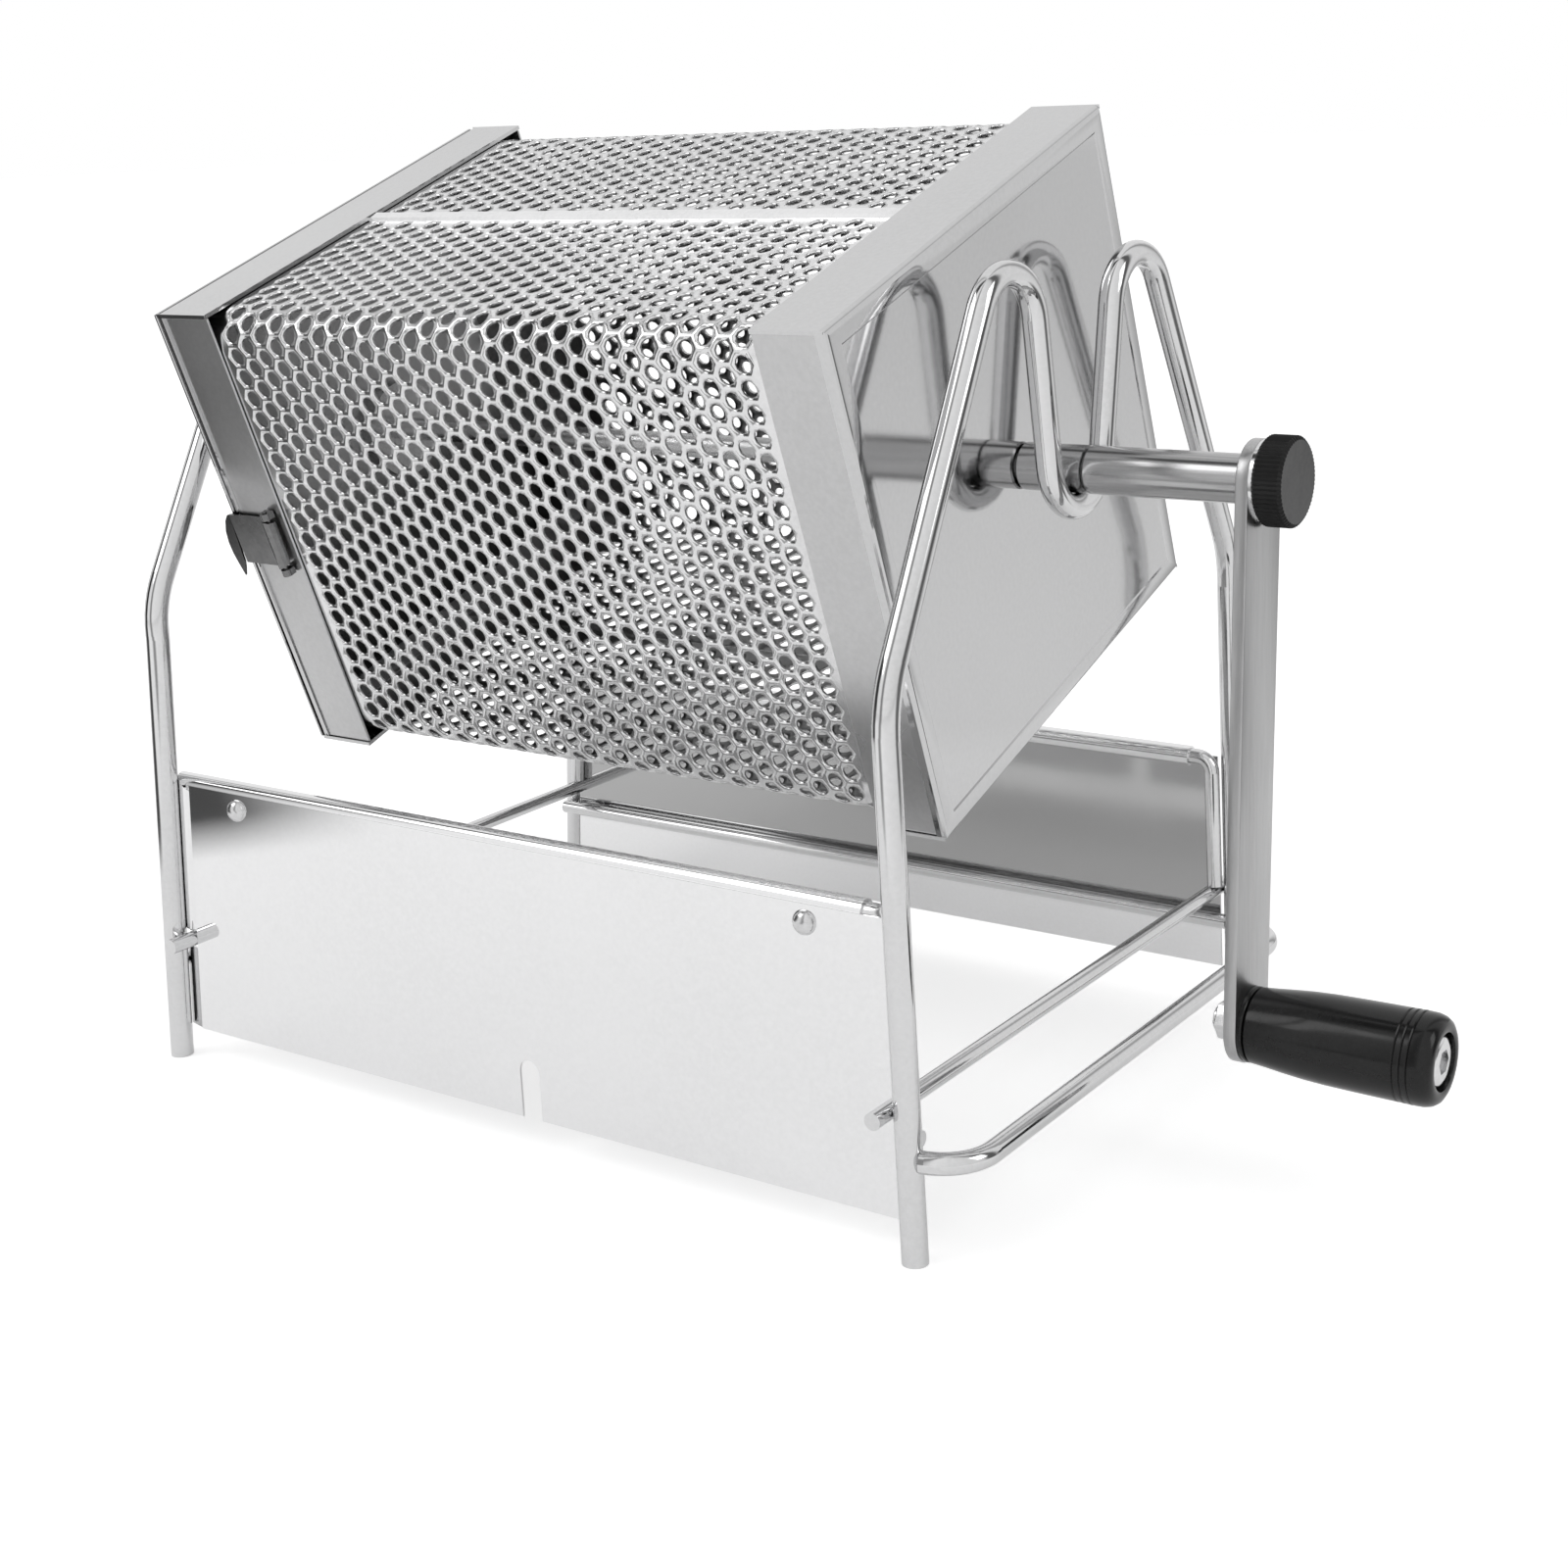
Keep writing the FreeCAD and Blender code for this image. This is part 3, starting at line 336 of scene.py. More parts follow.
def painted_shade_by_height():
    """A metal's own colour at one height, running into a darker grey of painted shade at another."""
    group = bpy.data.node_groups.new("painted_shade_by_height", "ShaderNodeTree")
    for name, kind in (("Vector", "NodeSocketVector"), ("Bare Height", "NodeSocketFloat"),
                       ("Shaded Height", "NodeSocketFloat"), ("Bare", "NodeSocketColor"),
                       ("Shaded", "NodeSocketColor")):
        group.interface.new_socket(name, in_out="INPUT", socket_type=kind)
    group.interface.new_socket("Colour", in_out="OUTPUT", socket_type="NodeSocketColor")
    taken = group.nodes.new("NodeGroupInput")
    given = group.nodes.new("NodeGroupOutput")
    height = group.nodes.new("ShaderNodeSeparateXYZ")
    share = group.nodes.new("ShaderNodeMapRange")
    share.interpolation_type = "SMOOTHSTEP"
    mixed = group.nodes.new("ShaderNodeMix")
    mixed.data_type = "RGBA"
    group.links.new(taken.outputs["Vector"], height.inputs["Vector"])
    group.links.new(height.outputs["Z"], share.inputs["Value"])
    group.links.new(taken.outputs["Bare Height"], share.inputs["From Min"])
    group.links.new(taken.outputs["Shaded Height"], share.inputs["From Max"])
    group.links.new(share.outputs["Result"], mixed.inputs["Factor"])
    group.links.new(taken.outputs["Bare"], mixed.inputs["A"])
    group.links.new(taken.outputs["Shaded"], mixed.inputs["B"])
    group.links.new(mixed.outputs["Result"], given.inputs["Colour"])
    return group


height_shade = painted_shade_by_height()


def shaded_by_height(material, bare_height, shaded_height, grey):
    """Paint shade into a finish: it runs into a darker grey between two heights."""
    tree = material.node_tree
    effect = tree.nodes.new("ShaderNodeGroup")
    effect.node_tree = height_shade
    effect.inputs["Bare Height"].default_value = bare_height
    effect.inputs["Shaded Height"].default_value = shaded_height
    effect.inputs["Shaded"].default_value = (grey, grey, grey, 1)
    tree.links.new(tree.nodes["Mapping"].outputs["Vector"], effect.inputs["Vector"])
    tree.links.new(tree.nodes["Group"].outputs["Colour"], effect.inputs["Bare"])
    tree.links.new(effect.outputs["Colour"], tree.nodes["Principled BSDF"].inputs["Base Color"])


def leg_x(side, height):
    """Where the middle of a leg is at a height: the legs spread a little below the shoulder."""
    drop = max(0, shoulder_height - height)
    if side < 0:
        return stand_middle - left_reach - drop * tan(left_splay)
    return stand_middle + right_reach + drop * tan(right_splay)


def points_in(geom):
    """The vertices among the parts of a mesh."""
    return [part for part in geom if isinstance(part, bmesh.types.BMVert)]


def edges_joining(mesh, vertices):
    """The edges of a mesh that join some of its vertices."""
    chosen = set(vertices)
    return [edge for edge in mesh.edges if chosen.issuperset(edge.verts)]


def piece_from(mesh, name, material, body, node_names, thickness=0.0, inwards=False, crease=35,
               inner_material=None):
    """Make a finished piece from a mesh in its place, and say what it rides on and stands for."""
    data = bpy.data.meshes.new(name)
    mesh.to_mesh(data)
    mesh.free()
    data.materials.append(material)
    if inner_material:
        data.materials.append(inner_material)
    made = bpy.data.objects.new(name, data)
    bpy.context.scene.collection.objects.link(made)
    if thickness:
        sheet = made.modifiers.new("sheet_thickness", "SOLIDIFY")
        sheet.thickness = thickness
        sheet.offset = -1 if inwards else 0
        sheet.material_offset = len(data.materials) - 1
        evaluated = made.evaluated_get(bpy.context.evaluated_depsgraph_get())
        solid = bpy.data.meshes.new_from_object(evaluated)
        made.modifiers.clear()
        made.data = solid
        bpy.data.meshes.remove(data)
        data = solid
        data.name = name
    data.shade_smooth()
    data.set_sharp_from_angle(angle=radians(crease))
    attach(made, body)
    if node_names:
        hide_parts(*node_names)
    return made


def recoat(piece, material, chosen):
    """Give the chosen faces of a piece a second finish."""
    piece.data.materials.append(material)
    for patch in piece.data.polygons:
        if chosen(patch):
            patch.material_index = len(piece.data.materials) - 1


def wind_panel(side, wire_z, bottom, rolled_left):
    """The flat of a panel with its notch, its rolled hem, and a rolled left edge if it has one."""
    panel = bmesh.new()
    face_y = side * (wire_y + hem_radius)
    left_inset = rolled_flat_inset if rolled_left else leg_clearance
    notch_left, notch_right = notch_middle - notch_half, notch_middle + notch_half
    notch_top = bottom + notch_height
    outline = [(leg_x(-1, wire_z) + left_inset, wire_z), (leg_x(-1, bottom) + left_inset, bottom),
               (notch_left, bottom), (notch_left, notch_top), (notch_right, notch_top),
               (notch_right, bottom), (leg_x(1, bottom) - leg_clearance, bottom),
               (leg_x(1, wire_z) - leg_clearance, wire_z)]
    corners = [panel.verts.new((x, face_y, z)) for x, z in outline]
    panel.faces.new(corners)
    notch_corners = [corner for corner, (_, z) in zip(corners, outline) if z == notch_top]
    bmesh.ops.bevel(panel, geom=notch_corners, offset=notch_half * 0.99, segments=6, profile=0.5,
                    affect="VERTICES", material=-1)
    flat = set(panel.verts)
    hem_left = leg_x(-1, wire_z) + (roll_inset if rolled_left else hem_end_inset)
    hem_right = leg_x(1, wire_z) - hem_end_inset
    ends = [panel.verts.new((x, face_y, wire_z)) for x in (hem_left, hem_right)]
    bmesh.ops.spin(panel, geom=[*ends, panel.edges.new(ends)], cent=(0, side * wire_y, wire_z),
                   axis=(1, 0, 0), angle=side * hem_wrap, steps=20)
    if rolled_left:
        # The hem and the rolled edge meet in a mitre.
        for vertex in set(panel.verts) - flat:
            if vertex.co.x < hem_left + 1 * mm:
                vertex.co.x = hem_left - (vertex.co.z - wire_z)
        roll_x = leg_x(-1, roll_foot) + roll_inset
        foot = bmesh.ops.create_circle(panel, segments=24, radius=hem_radius)["verts"]
        bmesh.ops.translate(panel, verts=foot, vec=(roll_x, side * wire_y, roll_foot))
        grown = bmesh.ops.extrude_edge_only(panel, edges=edges_joining(panel, foot))["geom"]
        for vertex in points_in(grown):
            vertex.co.x += leg_x(-1, wire_z) - leg_x(-1, roll_foot)
            vertex.co.z = wire_z - (vertex.co.x - leg_x(-1, wire_z) - roll_inset)
        strip = [(strip_near, strip_top), (strip_near, bottom), (strip_far, bottom), (strip_far, strip_top)]
        panel.faces.new([panel.verts.new((leg_x(-1, z) + inset, side * y, z)) for (inset, y), z in strip])
    bmesh.ops.recalc_face_normals(panel, faces=panel.faces[:])
    return panel


# Painted shade: the inner sides turn darker grey above the rail, between 22 and 27 mm up.
shaded_by_height(panel_inside_painted_reflection, 22 * mm, 27 * mm, 0.48)
for side, place, wire_z, bottom in ((-1, "front", 76.7 * mm, 8.3 * mm), (1, "back", 71 * mm, 12.5 * mm)):
    hung_panel = piece_from(wind_panel(side, wire_z, bottom, side < 0), f"{place}_wind_panel",
                            mirror_sheet, "stand", [f"{place}_panel"],
                            thickness=panel_sheet)
    inner_flat = wire_y + 1 * mm
    recoat(hung_panel, panel_inside_painted_reflection, lambda patch: patch.normal.y * side < -0.9
           and patch.center.y * side > inner_flat)

# ---------------------------------------------------------------- panel rivets
# Four domed steel rivets close the panels' hems, two in each. They are plain and slightly dull,
# and each dome is turned from a profile of (along, out) points.
rivet_steel = finish("rivet_steel", 0.72, 0.6, 0.16, 0.24)
dome = [(-0.2, 2.9), (0.2, 2.9), (0.8, 2.65), (1.4, 2.1), (1.8, 1.3), (1.95, 0.5), (1.97, 0)]


def turned_about_x(mesh, profile, steps):
    """Turn a profile of (along, out) points, in millimetres, about the X axis."""
    chain = [mesh.verts.new((along * mm, 0, out * mm)) for along, out in profile]
    edges = [mesh.edges.new(pair) for pair in zip(chain, chain[1:])]
    bmesh.ops.spin(mesh, geom=[*chain, *edges], cent=(0, 0, 0), axis=(1, 0, 0), angle=2 * pi,
                   steps=steps, use_merge=True)


def closed_up(mesh):
    """Join a turned mesh's doubled points and face it outwards."""
    bmesh.ops.remove_doubles(mesh, verts=mesh.verts[:], dist=0.002 * mm)
    bmesh.ops.recalc_face_normals(mesh, faces=mesh.faces[:])
    return mesh


rivets = bmesh.new()
for side, height in ((-1, 72.5 * mm), (1, 66.8 * mm)):
    for across in (-129.1 * mm, 47.8 * mm):
        known = set(rivets.verts)
        turned_about_x(rivets, dome, 24)
        fresh = [vertex for vertex in rivets.verts if vertex not in known]
        seat = side * (wire_y + hem_radius + panel_sheet / 2)
        bmesh.ops.rotate(rivets, verts=fresh, matrix=Matrix.Rotation(side * pi / 2, 3, "Z"))
        bmesh.ops.translate(rivets, verts=fresh, vec=(across, seat, height))
piece_from(closed_up(rivets), "domed_rivets", rivet_steel, "stand", ["panel_rivets"])

# ---------------------------------------------------------------- drum caps and lid
# Each end of the drum has a bent stainless tray, whose face folds back over the front and back flanges as a
# narrow lip. On the lid's side the tray is a frame, closed by a flat plate of sheet whose inner face is
# painted with shade, darker towards the drum's lower side, standing for the dark interior it would mirror.
drum_height = 159.5 * mm
drum_lean = 19.3
drum_turn = Matrix.Translation((0, 0, drum_height)) @ Matrix.Rotation(radians(drum_lean), 4, "X")
crank_cap_x = 58.16 * mm
lid_x = -141.84 * mm
cap_half = 62.5 * mm
cap_sheet = 1 * mm
face_rounding = 1.1 * mm
flange_depth = 18.7 * mm
lip_depth = 2.2 * mm
lip_taper = 0.996
lip_gap, flange_gap = 0.2 * mm, 0.15 * mm
tucked_under = 0.4 * mm
face_border, face_slope, face_sink = 3.2 * mm, 0.35 * mm, 0.25 * mm
mouth_border = 7 * mm
door_half = 62.2 * mm
flange_rounding, door_rounding = 0.12 * mm, 0.3 * mm
cap_steel = finish("cap_steel", 0.63, 0.59, 0.06, 0.1, turn=-drum_lean, clouds=14, relief=0.02)
flange_steel = finish("flange_steel", 0.6, 0.55, 0.24, 0.32, turn=-drum_lean, clouds=14, relief=0.02)
# Painted shade: the lid plate's inner face is painted darker than the caps.
lid_inside_painted_shade = finish("lid_inside_painted_shade", 0.42, 0.36, 0.2, 0.3, turn=-drum_lean, clouds=14, relief=0.02)


def pressed_box(mesh, low, high, rounding):
    """A block between two corners, its edges slightly rounded."""
    corners = bmesh.ops.create_cube(mesh, size=1)["verts"]
    bmesh.ops.scale(mesh, verts=corners, vec=[b - a for a, b in zip(low, high)])
    bmesh.ops.translate(mesh, verts=corners, vec=[(a + b) / 2 for a, b in zip(low, high)])
    bmesh.ops.bevel(mesh, geom=edges_joining(mesh, corners), offset=rounding, segments=2, profile=0.5,
                    affect="EDGES", material=-1)


def pulled_out(mesh, edges, vec):
    """Pull new faces out of some edges, and give the vertices at their far side."""
    grown = points_in(bmesh.ops.extrude_edge_only(mesh, edges=edges)["geom"])
    bmesh.ops.translate(mesh, verts=grown, vec=vec)
    return grown


def bordered(mesh, face):
    """Press a face in a little, inside a flat border."""
    bmesh.ops.inset_region(mesh, faces=[face], thickness=face_border, use_even_offset=True)
    bmesh.ops.inset_region(mesh, faces=[face], thickness=face_slope, depth=-face_sink,
                           use_even_offset=True)


def cap_tray(face_x, outward, depth, mouth):
    """The bent part of a cap: face, upper and lower flanges, and the lips of the other two."""
    tray = bmesh.new()
    width = 2 * cap_half - cap_sheet
    corners = bmesh.ops.create_cube(tray, size=1)["verts"]
    bmesh.ops.scale(tray, verts=corners, vec=(depth - cap_sheet / 2, width, width))
    bmesh.ops.translate(tray, verts=corners,
                        vec=(face_x - outward * (depth + cap_sheet / 2) / 2, 0, 0))
    tray.normal_update()
    open_sides = [part for part in tray.faces
                  if part.normal.x * outward < -0.5 or abs(part.normal.y) > 0.5]
    bmesh.ops.delete(tray, geom=open_sides, context="FACES_ONLY")
    loose = [edge for edge in tray.edges if not edge.link_faces]
    bmesh.ops.delete(tray, geom=loose, context="EDGES")
    face = next(part for part in tray.faces if abs(part.normal.x) > 0.5)
    flanges = [part for part in tray.faces if abs(part.normal.z) > 0.5]
    for flange in flanges:
        for edge in flange.edges[:]:
            start, end = (vertex.co for vertex in edge.verts)
            if abs(start.y - end.y) < 0.001 * mm:
                pulled_out(tray, [edge], (0, cap_sheet / 2 if start.y > 0 else -cap_sheet / 2, 0))
    for edge in face.edges[:]:
        start, end = (vertex.co for vertex in edge.verts)
        if abs(start.z - end.z) > cap_half:
            lip = pulled_out(tray, [edge], (-outward * lip_depth, 0, 0))
            bmesh.ops.scale(tray, vec=(1, 1, lip_taper), verts=lip)
    bmesh.ops.bevel(tray, geom=face.edges[:], offset=face_rounding, segments=4, profile=0.5,
                    affect="EDGES", material=-1)
    tray.normal_update()
    face = max(tray.faces, key=lambda part: part.calc_area() * (abs(part.normal.x) > 0.9))
    if mouth:
        bmesh.ops.inset_region(tray, faces=[face], thickness=mouth, use_even_offset=True)
        bmesh.ops.delete(tray, geom=[face], context="FACES")
    else:
        if face.normal.x * outward < 0:
            face.normal_flip()
        bordered(tray, face)
    bmesh.ops.recalc_face_normals(tray, faces=tray.faces[:])
    tray.transform(drum_turn)
    return tray


def side_flanges(face_x, outward, depth):
    """The front and back flanges, tucked under the lips and between the other two flanges."""
    plates = bmesh.new()
    inner, outer = cap_half - cap_sheet, cap_half - tucked_under
    near, far = sorted((face_x - outward * depth, face_x - outward * (lip_depth + lip_gap)))
    reach = cap_half - cap_sheet - flange_gap
    for side in (-1, 1):
        low, high = sorted((side * inner, side * outer))
        pressed_box(plates, (near, low, -reach), (far, high, reach), flange_rounding)
    plates.transform(drum_turn)
    return plates


frame_x = lid_x + cap_sheet
for name, node, face_x, outward, depth, mouth in (
        ("crank_cap", "crank_side_cap", crank_cap_x, 1, flange_depth, 0),
        ("lid_frame", "lid_frame", frame_x, -1, flange_depth - cap_sheet, mouth_border)):
    piece_from(cap_tray(face_x, outward, depth, mouth), f"{name}_tray", cap_steel, "drum", [node],
               thickness=cap_sheet, crease=15)
    piece_from(side_flanges(face_x, outward, depth), f"{name}_flanges", flange_steel, "drum", [],
               crease=15)
door = bmesh.new()
pressed_box(door, (lid_x, -door_half, -door_half), (frame_x, door_half, door_half), door_rounding)
door.normal_update()
bordered(door, max(door.faces, key=lambda part: -part.normal.x * part.calc_area()))
door.transform(drum_turn)
door_plate = piece_from(door, "lid_door_plate", cap_steel, "drum", ["lid_door"],
                        crease=15)
# Painted shade: the inner face runs to near black towards the drum's lower side.
shaded_by_height(lid_inside_painted_shade, 158 * mm, 126 * mm, 0.05)
recoat(door_plate, lid_inside_painted_shade, lambda patch: patch.normal.x > 0.9)

# ---------------------------------------------------------------- perforated drum wall
# Two sheets of punched stainless, each bent to a U round two corners of the drum. Their holes
# stand in staggered rows that run on round the bends, and stop short of the seams.
wall_out = 61.3 * mm
wall_sheet = 0.8 * mm
bend = 8 * mm
flat_run = wall_out - bend
bend_run = (bend - wall_sheet / 2) * pi / 2
half_run = 4 * flat_run + 2 * bend_run
wall_left = -139.64 * mm
wall_right = 56.96 * mm
hole_radius = 2.1 * mm
hole_pitch = 5.7 * mm
first_row = 5.1 * mm
row_count = 40
row_step = (half_run - 2 * first_row) / row_count
column_count = 32
column_step = hole_pitch * sqrt(3) / 2
first_column = -1 * mm + stand_middle - (column_count - 1) * column_step / 2
plain_columns, plain_rows = 4, 2
seam_gap = 0.05 * mm
punched_steel = finish("punched_steel", 0.8, 0.71, 0.16, 0.22, turn=-drum_lean, clouds=40, relief=0.08)
# Painted shade: the sheets' inner faces are painted dark grey, so that the holes show the drum's inside as
# shaded.
drum_inside_painted_shade = finish("drum_inside_painted_shade", 0.3, 0.23, 0.3, 0.4, turn=-drum_lean, clouds=40, relief=0.1)


def sheet_cell(holed):
    """One six-sided cell of the sheet, with its round hole or plain."""
    cell = bmesh.new()
    outline = bmesh.ops.create_circle(cell, segments=6, radius=row_step / sqrt(3))["verts"]
    bmesh.ops.rotate(cell, verts=outline, matrix=Matrix.Rotation(pi / 2, 3, "Z"))
    bmesh.ops.scale(cell, verts=outline, vec=(column_step * 2 / sqrt(3) / row_step, 1, 1))
    bmesh.ops.subdivide_edges(cell, edges=cell.edges[:], cuts=1)
    if holed:
        bmesh.ops.create_circle(cell, segments=12, radius=hole_radius)
        bmesh.ops.bridge_loops(cell, edges=cell.edges[:])
    else:
        bmesh.ops.contextual_create(cell, geom=cell.edges[:])
    cell.normal_update()
    bmesh.ops.reverse_faces(cell, faces=[face for face in cell.faces if face.normal.z < 0])
    data = bpy.data.meshes.new("cell")
    cell.to_mesh(data)
    cell.free()
    return data


def copies(sheet, vertices, shifts):
    """Copy some vertices of a sheet, with all that is on them, to each of several places."""
    edges = {edge for vertex in vertices for edge in vertex.link_edges}
    faces = {face for vertex in vertices for face in vertex.link_faces}
    for shift in shifts:
        made = bmesh.ops.duplicate(sheet, geom=[*vertices, *edges, *faces])["geom"]
        bmesh.ops.translate(sheet, vec=shift, verts=points_in(made))


def flat_blank():
    """The flat punched blank: X along the drum, Y from one seam to the other."""
    blank = bmesh.new()
    cells = {True: sheet_cell(True), False: sheet_cell(False)}
    # The first two holed columns are built, and the others are copies of them.
    for index in (*range(-plain_columns, 2), *range(column_count, column_count + plain_columns)):
        holed_column = 0 <= index < column_count
        offset = 0.5 if index % 2 else 0
        column = first_column + index * column_step
        earlier_columns = set(blank.verts)
        for holed in (True, False):
            rows = [row + offset for row in range(-plain_rows, row_count + plain_rows + 1)
                    if (holed_column and 0 <= row + offset <= row_count) == holed]
            if not rows:
                continue
            known = set(blank.verts)
            blank.from_mesh(cells[holed])
            fresh = [vertex for vertex in blank.verts if vertex not in known]
            bmesh.ops.translate(blank, verts=fresh, vec=(column, first_row + rows[0] * row_step, 0))
            copies(blank, fresh, [(0, (row - rows[0]) * row_step, 0) for row in rows[1:]])
        if holed_column:
            fresh = [vertex for vertex in blank.verts if vertex not in earlier_columns]
            copies(blank, fresh,
                   [(step * column_step, 0, 0) for step in range(2, column_count - index, 2)])
    bmesh.ops.remove_doubles(blank, verts=blank.verts[:], dist=0.02 * mm)
    for spot, outward in (((wall_left, 0, 0), (-1, 0, 0)), ((wall_right, 0, 0), (1, 0, 0)),
                          ((0, seam_gap, 0), (0, -1, 0)), ((0, half_run - seam_gap, 0), (0, 1, 0))):
        bmesh.ops.bisect_plane(blank, geom=[*blank.verts, *blank.edges, *blank.faces],
                               dist=0.001 * mm, plane_co=spot, plane_no=outward, clear_outer=True)
    return blank


def bent_round(point):
    """Where a point of the flat blank lies once the sheet is bent to its U."""
    run = min(point.y, half_run - point.y)
    if run < flat_run:
        y, z = -run, wall_out
    elif run < flat_run + bend_run:
        angle = (run - flat_run) / bend_run * pi / 2
        y, z = -flat_run - bend * sin(angle), flat_run + bend * cos(angle)
    else:
        y, z = -wall_out, half_run / 2 - run
    return Vector((point.x, y, z if point.y < half_run / 2 else -z))


blank = flat_blank()
for place, mirror in (("front", 1), ("back", -1)):
    wall = blank.copy()
    for vertex in wall.verts:
        vertex.co = bent_round(vertex.co)
        vertex.co.y *= mirror
    wall.normal_update()
    topmost = max(wall.faces, key=lambda part: part.calc_center_median().z)
    if topmost.normal.z < 0:
        bmesh.ops.reverse_faces(wall, faces=wall.faces[:])
    wall.transform(drum_turn)
    piece_from(wall, f"{place}_punched_sheet", punched_steel, "drum", [f"{place}_mesh_half"],
               thickness=wall_sheet, inwards=True, crease=180,
               inner_material=drum_inside_painted_shade)
blank.free()

# ---------------------------------------------------------------- seam strips
# A narrow bright strip with sloped edges is spot welded over each of the two seams, between the
# caps, and holds the punched sheets' edges together.
seam_left, seam_length, seam_sheet = -124 * mm, 164.3 * mm, 0.2 * mm
seam_profile = [(-1.9, -0.1), (-1.5, 0.75), (1.3, 0.95), (1.9, -0.1)]
seam_steel = finish("seam_steel", 0.9, 0.82, 0.12, 0.18, clouds=60)
seams = bmesh.new()
for up in (1, -1):
    chain = [seams.verts.new((seam_left, y * mm, up * (wall_out + z * mm))) for y, z in seam_profile]
    chain_edges = [seams.edges.new(pair) for pair in zip(chain, chain[1:])]
    pulled_out(seams, chain_edges, (seam_length, 0, 0))
seams.transform(drum_turn)
bmesh.ops.recalc_face_normals(seams, faces=seams.faces[:])
piece_from(seams, "seam_strips", seam_steel, "drum", [], thickness=seam_sheet)

# ---------------------------------------------------------------- shafts, hubs, axle and paddles
# The crank shaft and the stub are turned steel with a neck that runs in the stand's cradles. A
# polished rod joins their hubs inside the drum, and two twisted dark blades on it stir the beans.
# Lengths along a turned piece, and its radii, are in millimetres.
turned_steel = finish("turned_steel", 0.5, 0.38, 0.12, 0.2, stretch=(0.04, 1, 1), grain=1400)
shaft_start, shaft_end, stud_end = 57.3, 114.16, 123
neck_start, neck_end = 67.56, 74.76
shaft_radius, neck_radius, stud_radius = 5.5, 4, 3
shaft = bmesh.new()
turned_about_x(shaft, [(shaft_start, 0), (shaft_start, 4), (58.3, 4), (58.3, 5.1), (58.7, shaft_radius),
                       (neck_start - 0.8, shaft_radius), (neck_start, 4.9), (neck_start, neck_radius),
                       (neck_end, neck_radius), (neck_end, 4.8), (neck_end + 0.9, shaft_radius),
                       (shaft_end - 0.3, shaft_radius), (shaft_end, 5.2), (shaft_end, stud_radius),
                       (stud_end, stud_radius), (stud_end, 0)], 48)
closed_up(shaft).transform(drum_turn)
piece_from(shaft, "turned_crank_shaft", turned_steel, "drum", ["crank_shaft"])
dress(turned_steel, "stub_axle", "shaft_hub", "stub_hub", "right_seat_bush", "left_seat_bush")
dress(finish("paddle_steel", 0.12, 0.07, 0.3, 0.4, clouds=60), "upper_mixing_paddle",
      "lower_mixing_paddle")
dress(finish("axle_steel", 0.95, 0.9, 0.22, 0.3), "axle_rod")

# ---------------------------------------------------------------- crank arm
# A flat steel bar with round ends, brushed along its length and slightly rounded at its edges.
# It hangs from the shaft's end and is clamped there by the knob.
crank_lean = -2.2
crank_turn = Matrix.Translation((0, 0, drum_height)) @ Matrix.Rotation(radians(crank_lean), 4, "X")
arm_near, arm_sheet, arm_half, crank_throw = 114.16 * mm, 3 * mm, 9 * mm, 124 * mm
arm_rounding, arm_segments = 0.35 * mm, 48
arm_steel = finish("arm_steel", 0.5, 0.43, 0.2, 0.3, stretch=(1, 1, 0.05), turn=-crank_lean, grain=1500)


def circle_round_x(mesh, along, radius, segments, filled=False):
    """A circle of points round the X axis."""
    ring = bmesh.ops.create_circle(mesh, cap_ends=filled, segments=segments, radius=radius)["verts"]
    bmesh.ops.rotate(mesh, verts=ring, matrix=Matrix.Rotation(pi / 2, 3, "Y"))
    bmesh.ops.translate(mesh, verts=ring, vec=(along, 0, 0))
    return ring


def thickened(mesh, along):
    """Make a flat outline into a solid that reaches along X and faces outwards."""
    grown = bmesh.ops.extrude_face_region(mesh, geom=mesh.faces[:])["geom"]
    bmesh.ops.translate(mesh, verts=points_in(grown), vec=(along, 0, 0))
    bmesh.ops.recalc_face_normals(mesh, faces=mesh.faces[:])


arm = bmesh.new()
arm_outline = circle_round_x(arm, arm_near, arm_half, arm_segments, filled=True)
bmesh.ops.rotate(arm, verts=arm_outline, matrix=Matrix.Rotation(pi / arm_segments, 3, "X"))
bmesh.ops.translate(arm, verts=[v for v in arm_outline if v.co.z < 0], vec=(0, 0, -crank_throw))
thickened(arm, arm_sheet)
arm_rims = [edge for edge in arm.edges if edge.calc_face_angle(0) > radians(60)]
bmesh.ops.bevel(arm, geom=arm_rims, offset=arm_rounding, segments=3, profile=0.5, affect="EDGES",
                material=-1)
arm.transform(crank_turn)
piece_from(arm, "flat_crank_arm", arm_steel, "drum", ["crank_arm"], crease=20)

# ---------------------------------------------------------------- clamp knob and washer
# A short black knob with a straight knurled rim and a flat, slightly worn face screws onto the
# shaft's stud over a bright washer.
knob_near, knob_side, knob_radius, ridge_count = 117.96 * mm, 5.5 * mm, 10 * mm, 60
chamfer_width, chamfer_depth, groove_share = 0.8 * mm, 0.7 * mm, 0.972
knob_black = finish("knob_black", 0.014, 0.008, 0.4, 0.5, metallic=0.0, gloss=0.15, relief=0.2)
knob_face = finish("knob_face", 0.085, 0.06, 0.45, 0.6, metallic=0.0, gloss=0.25, relief=0.2)
bright_hardware = finish("bright_hardware", 0.78, 0.66, 0.1, 0.18)
knob = bmesh.new()
knurling = circle_round_x(knob, knob_near + chamfer_depth, knob_radius, 2 * ridge_count, filled=True)
bmesh.ops.scale(knob, verts=knurling[::2], vec=(1, groove_share, groove_share))
thickened(knob, knob_side)
for knob_end in [part for part in knob.faces if len(part.verts) > 8]:
    bmesh.ops.inset_region(knob, faces=[knob_end], thickness=chamfer_width, depth=chamfer_depth)
knob.transform(crank_turn)
clamp = piece_from(knob, "knurled_clamp_knob", knob_black, "drum", ["clamp_knob"],
                   crease=15)
recoat(clamp, knob_face, lambda patch: patch.normal.x > 0.9)
dress(bright_hardware, "knob_washer")

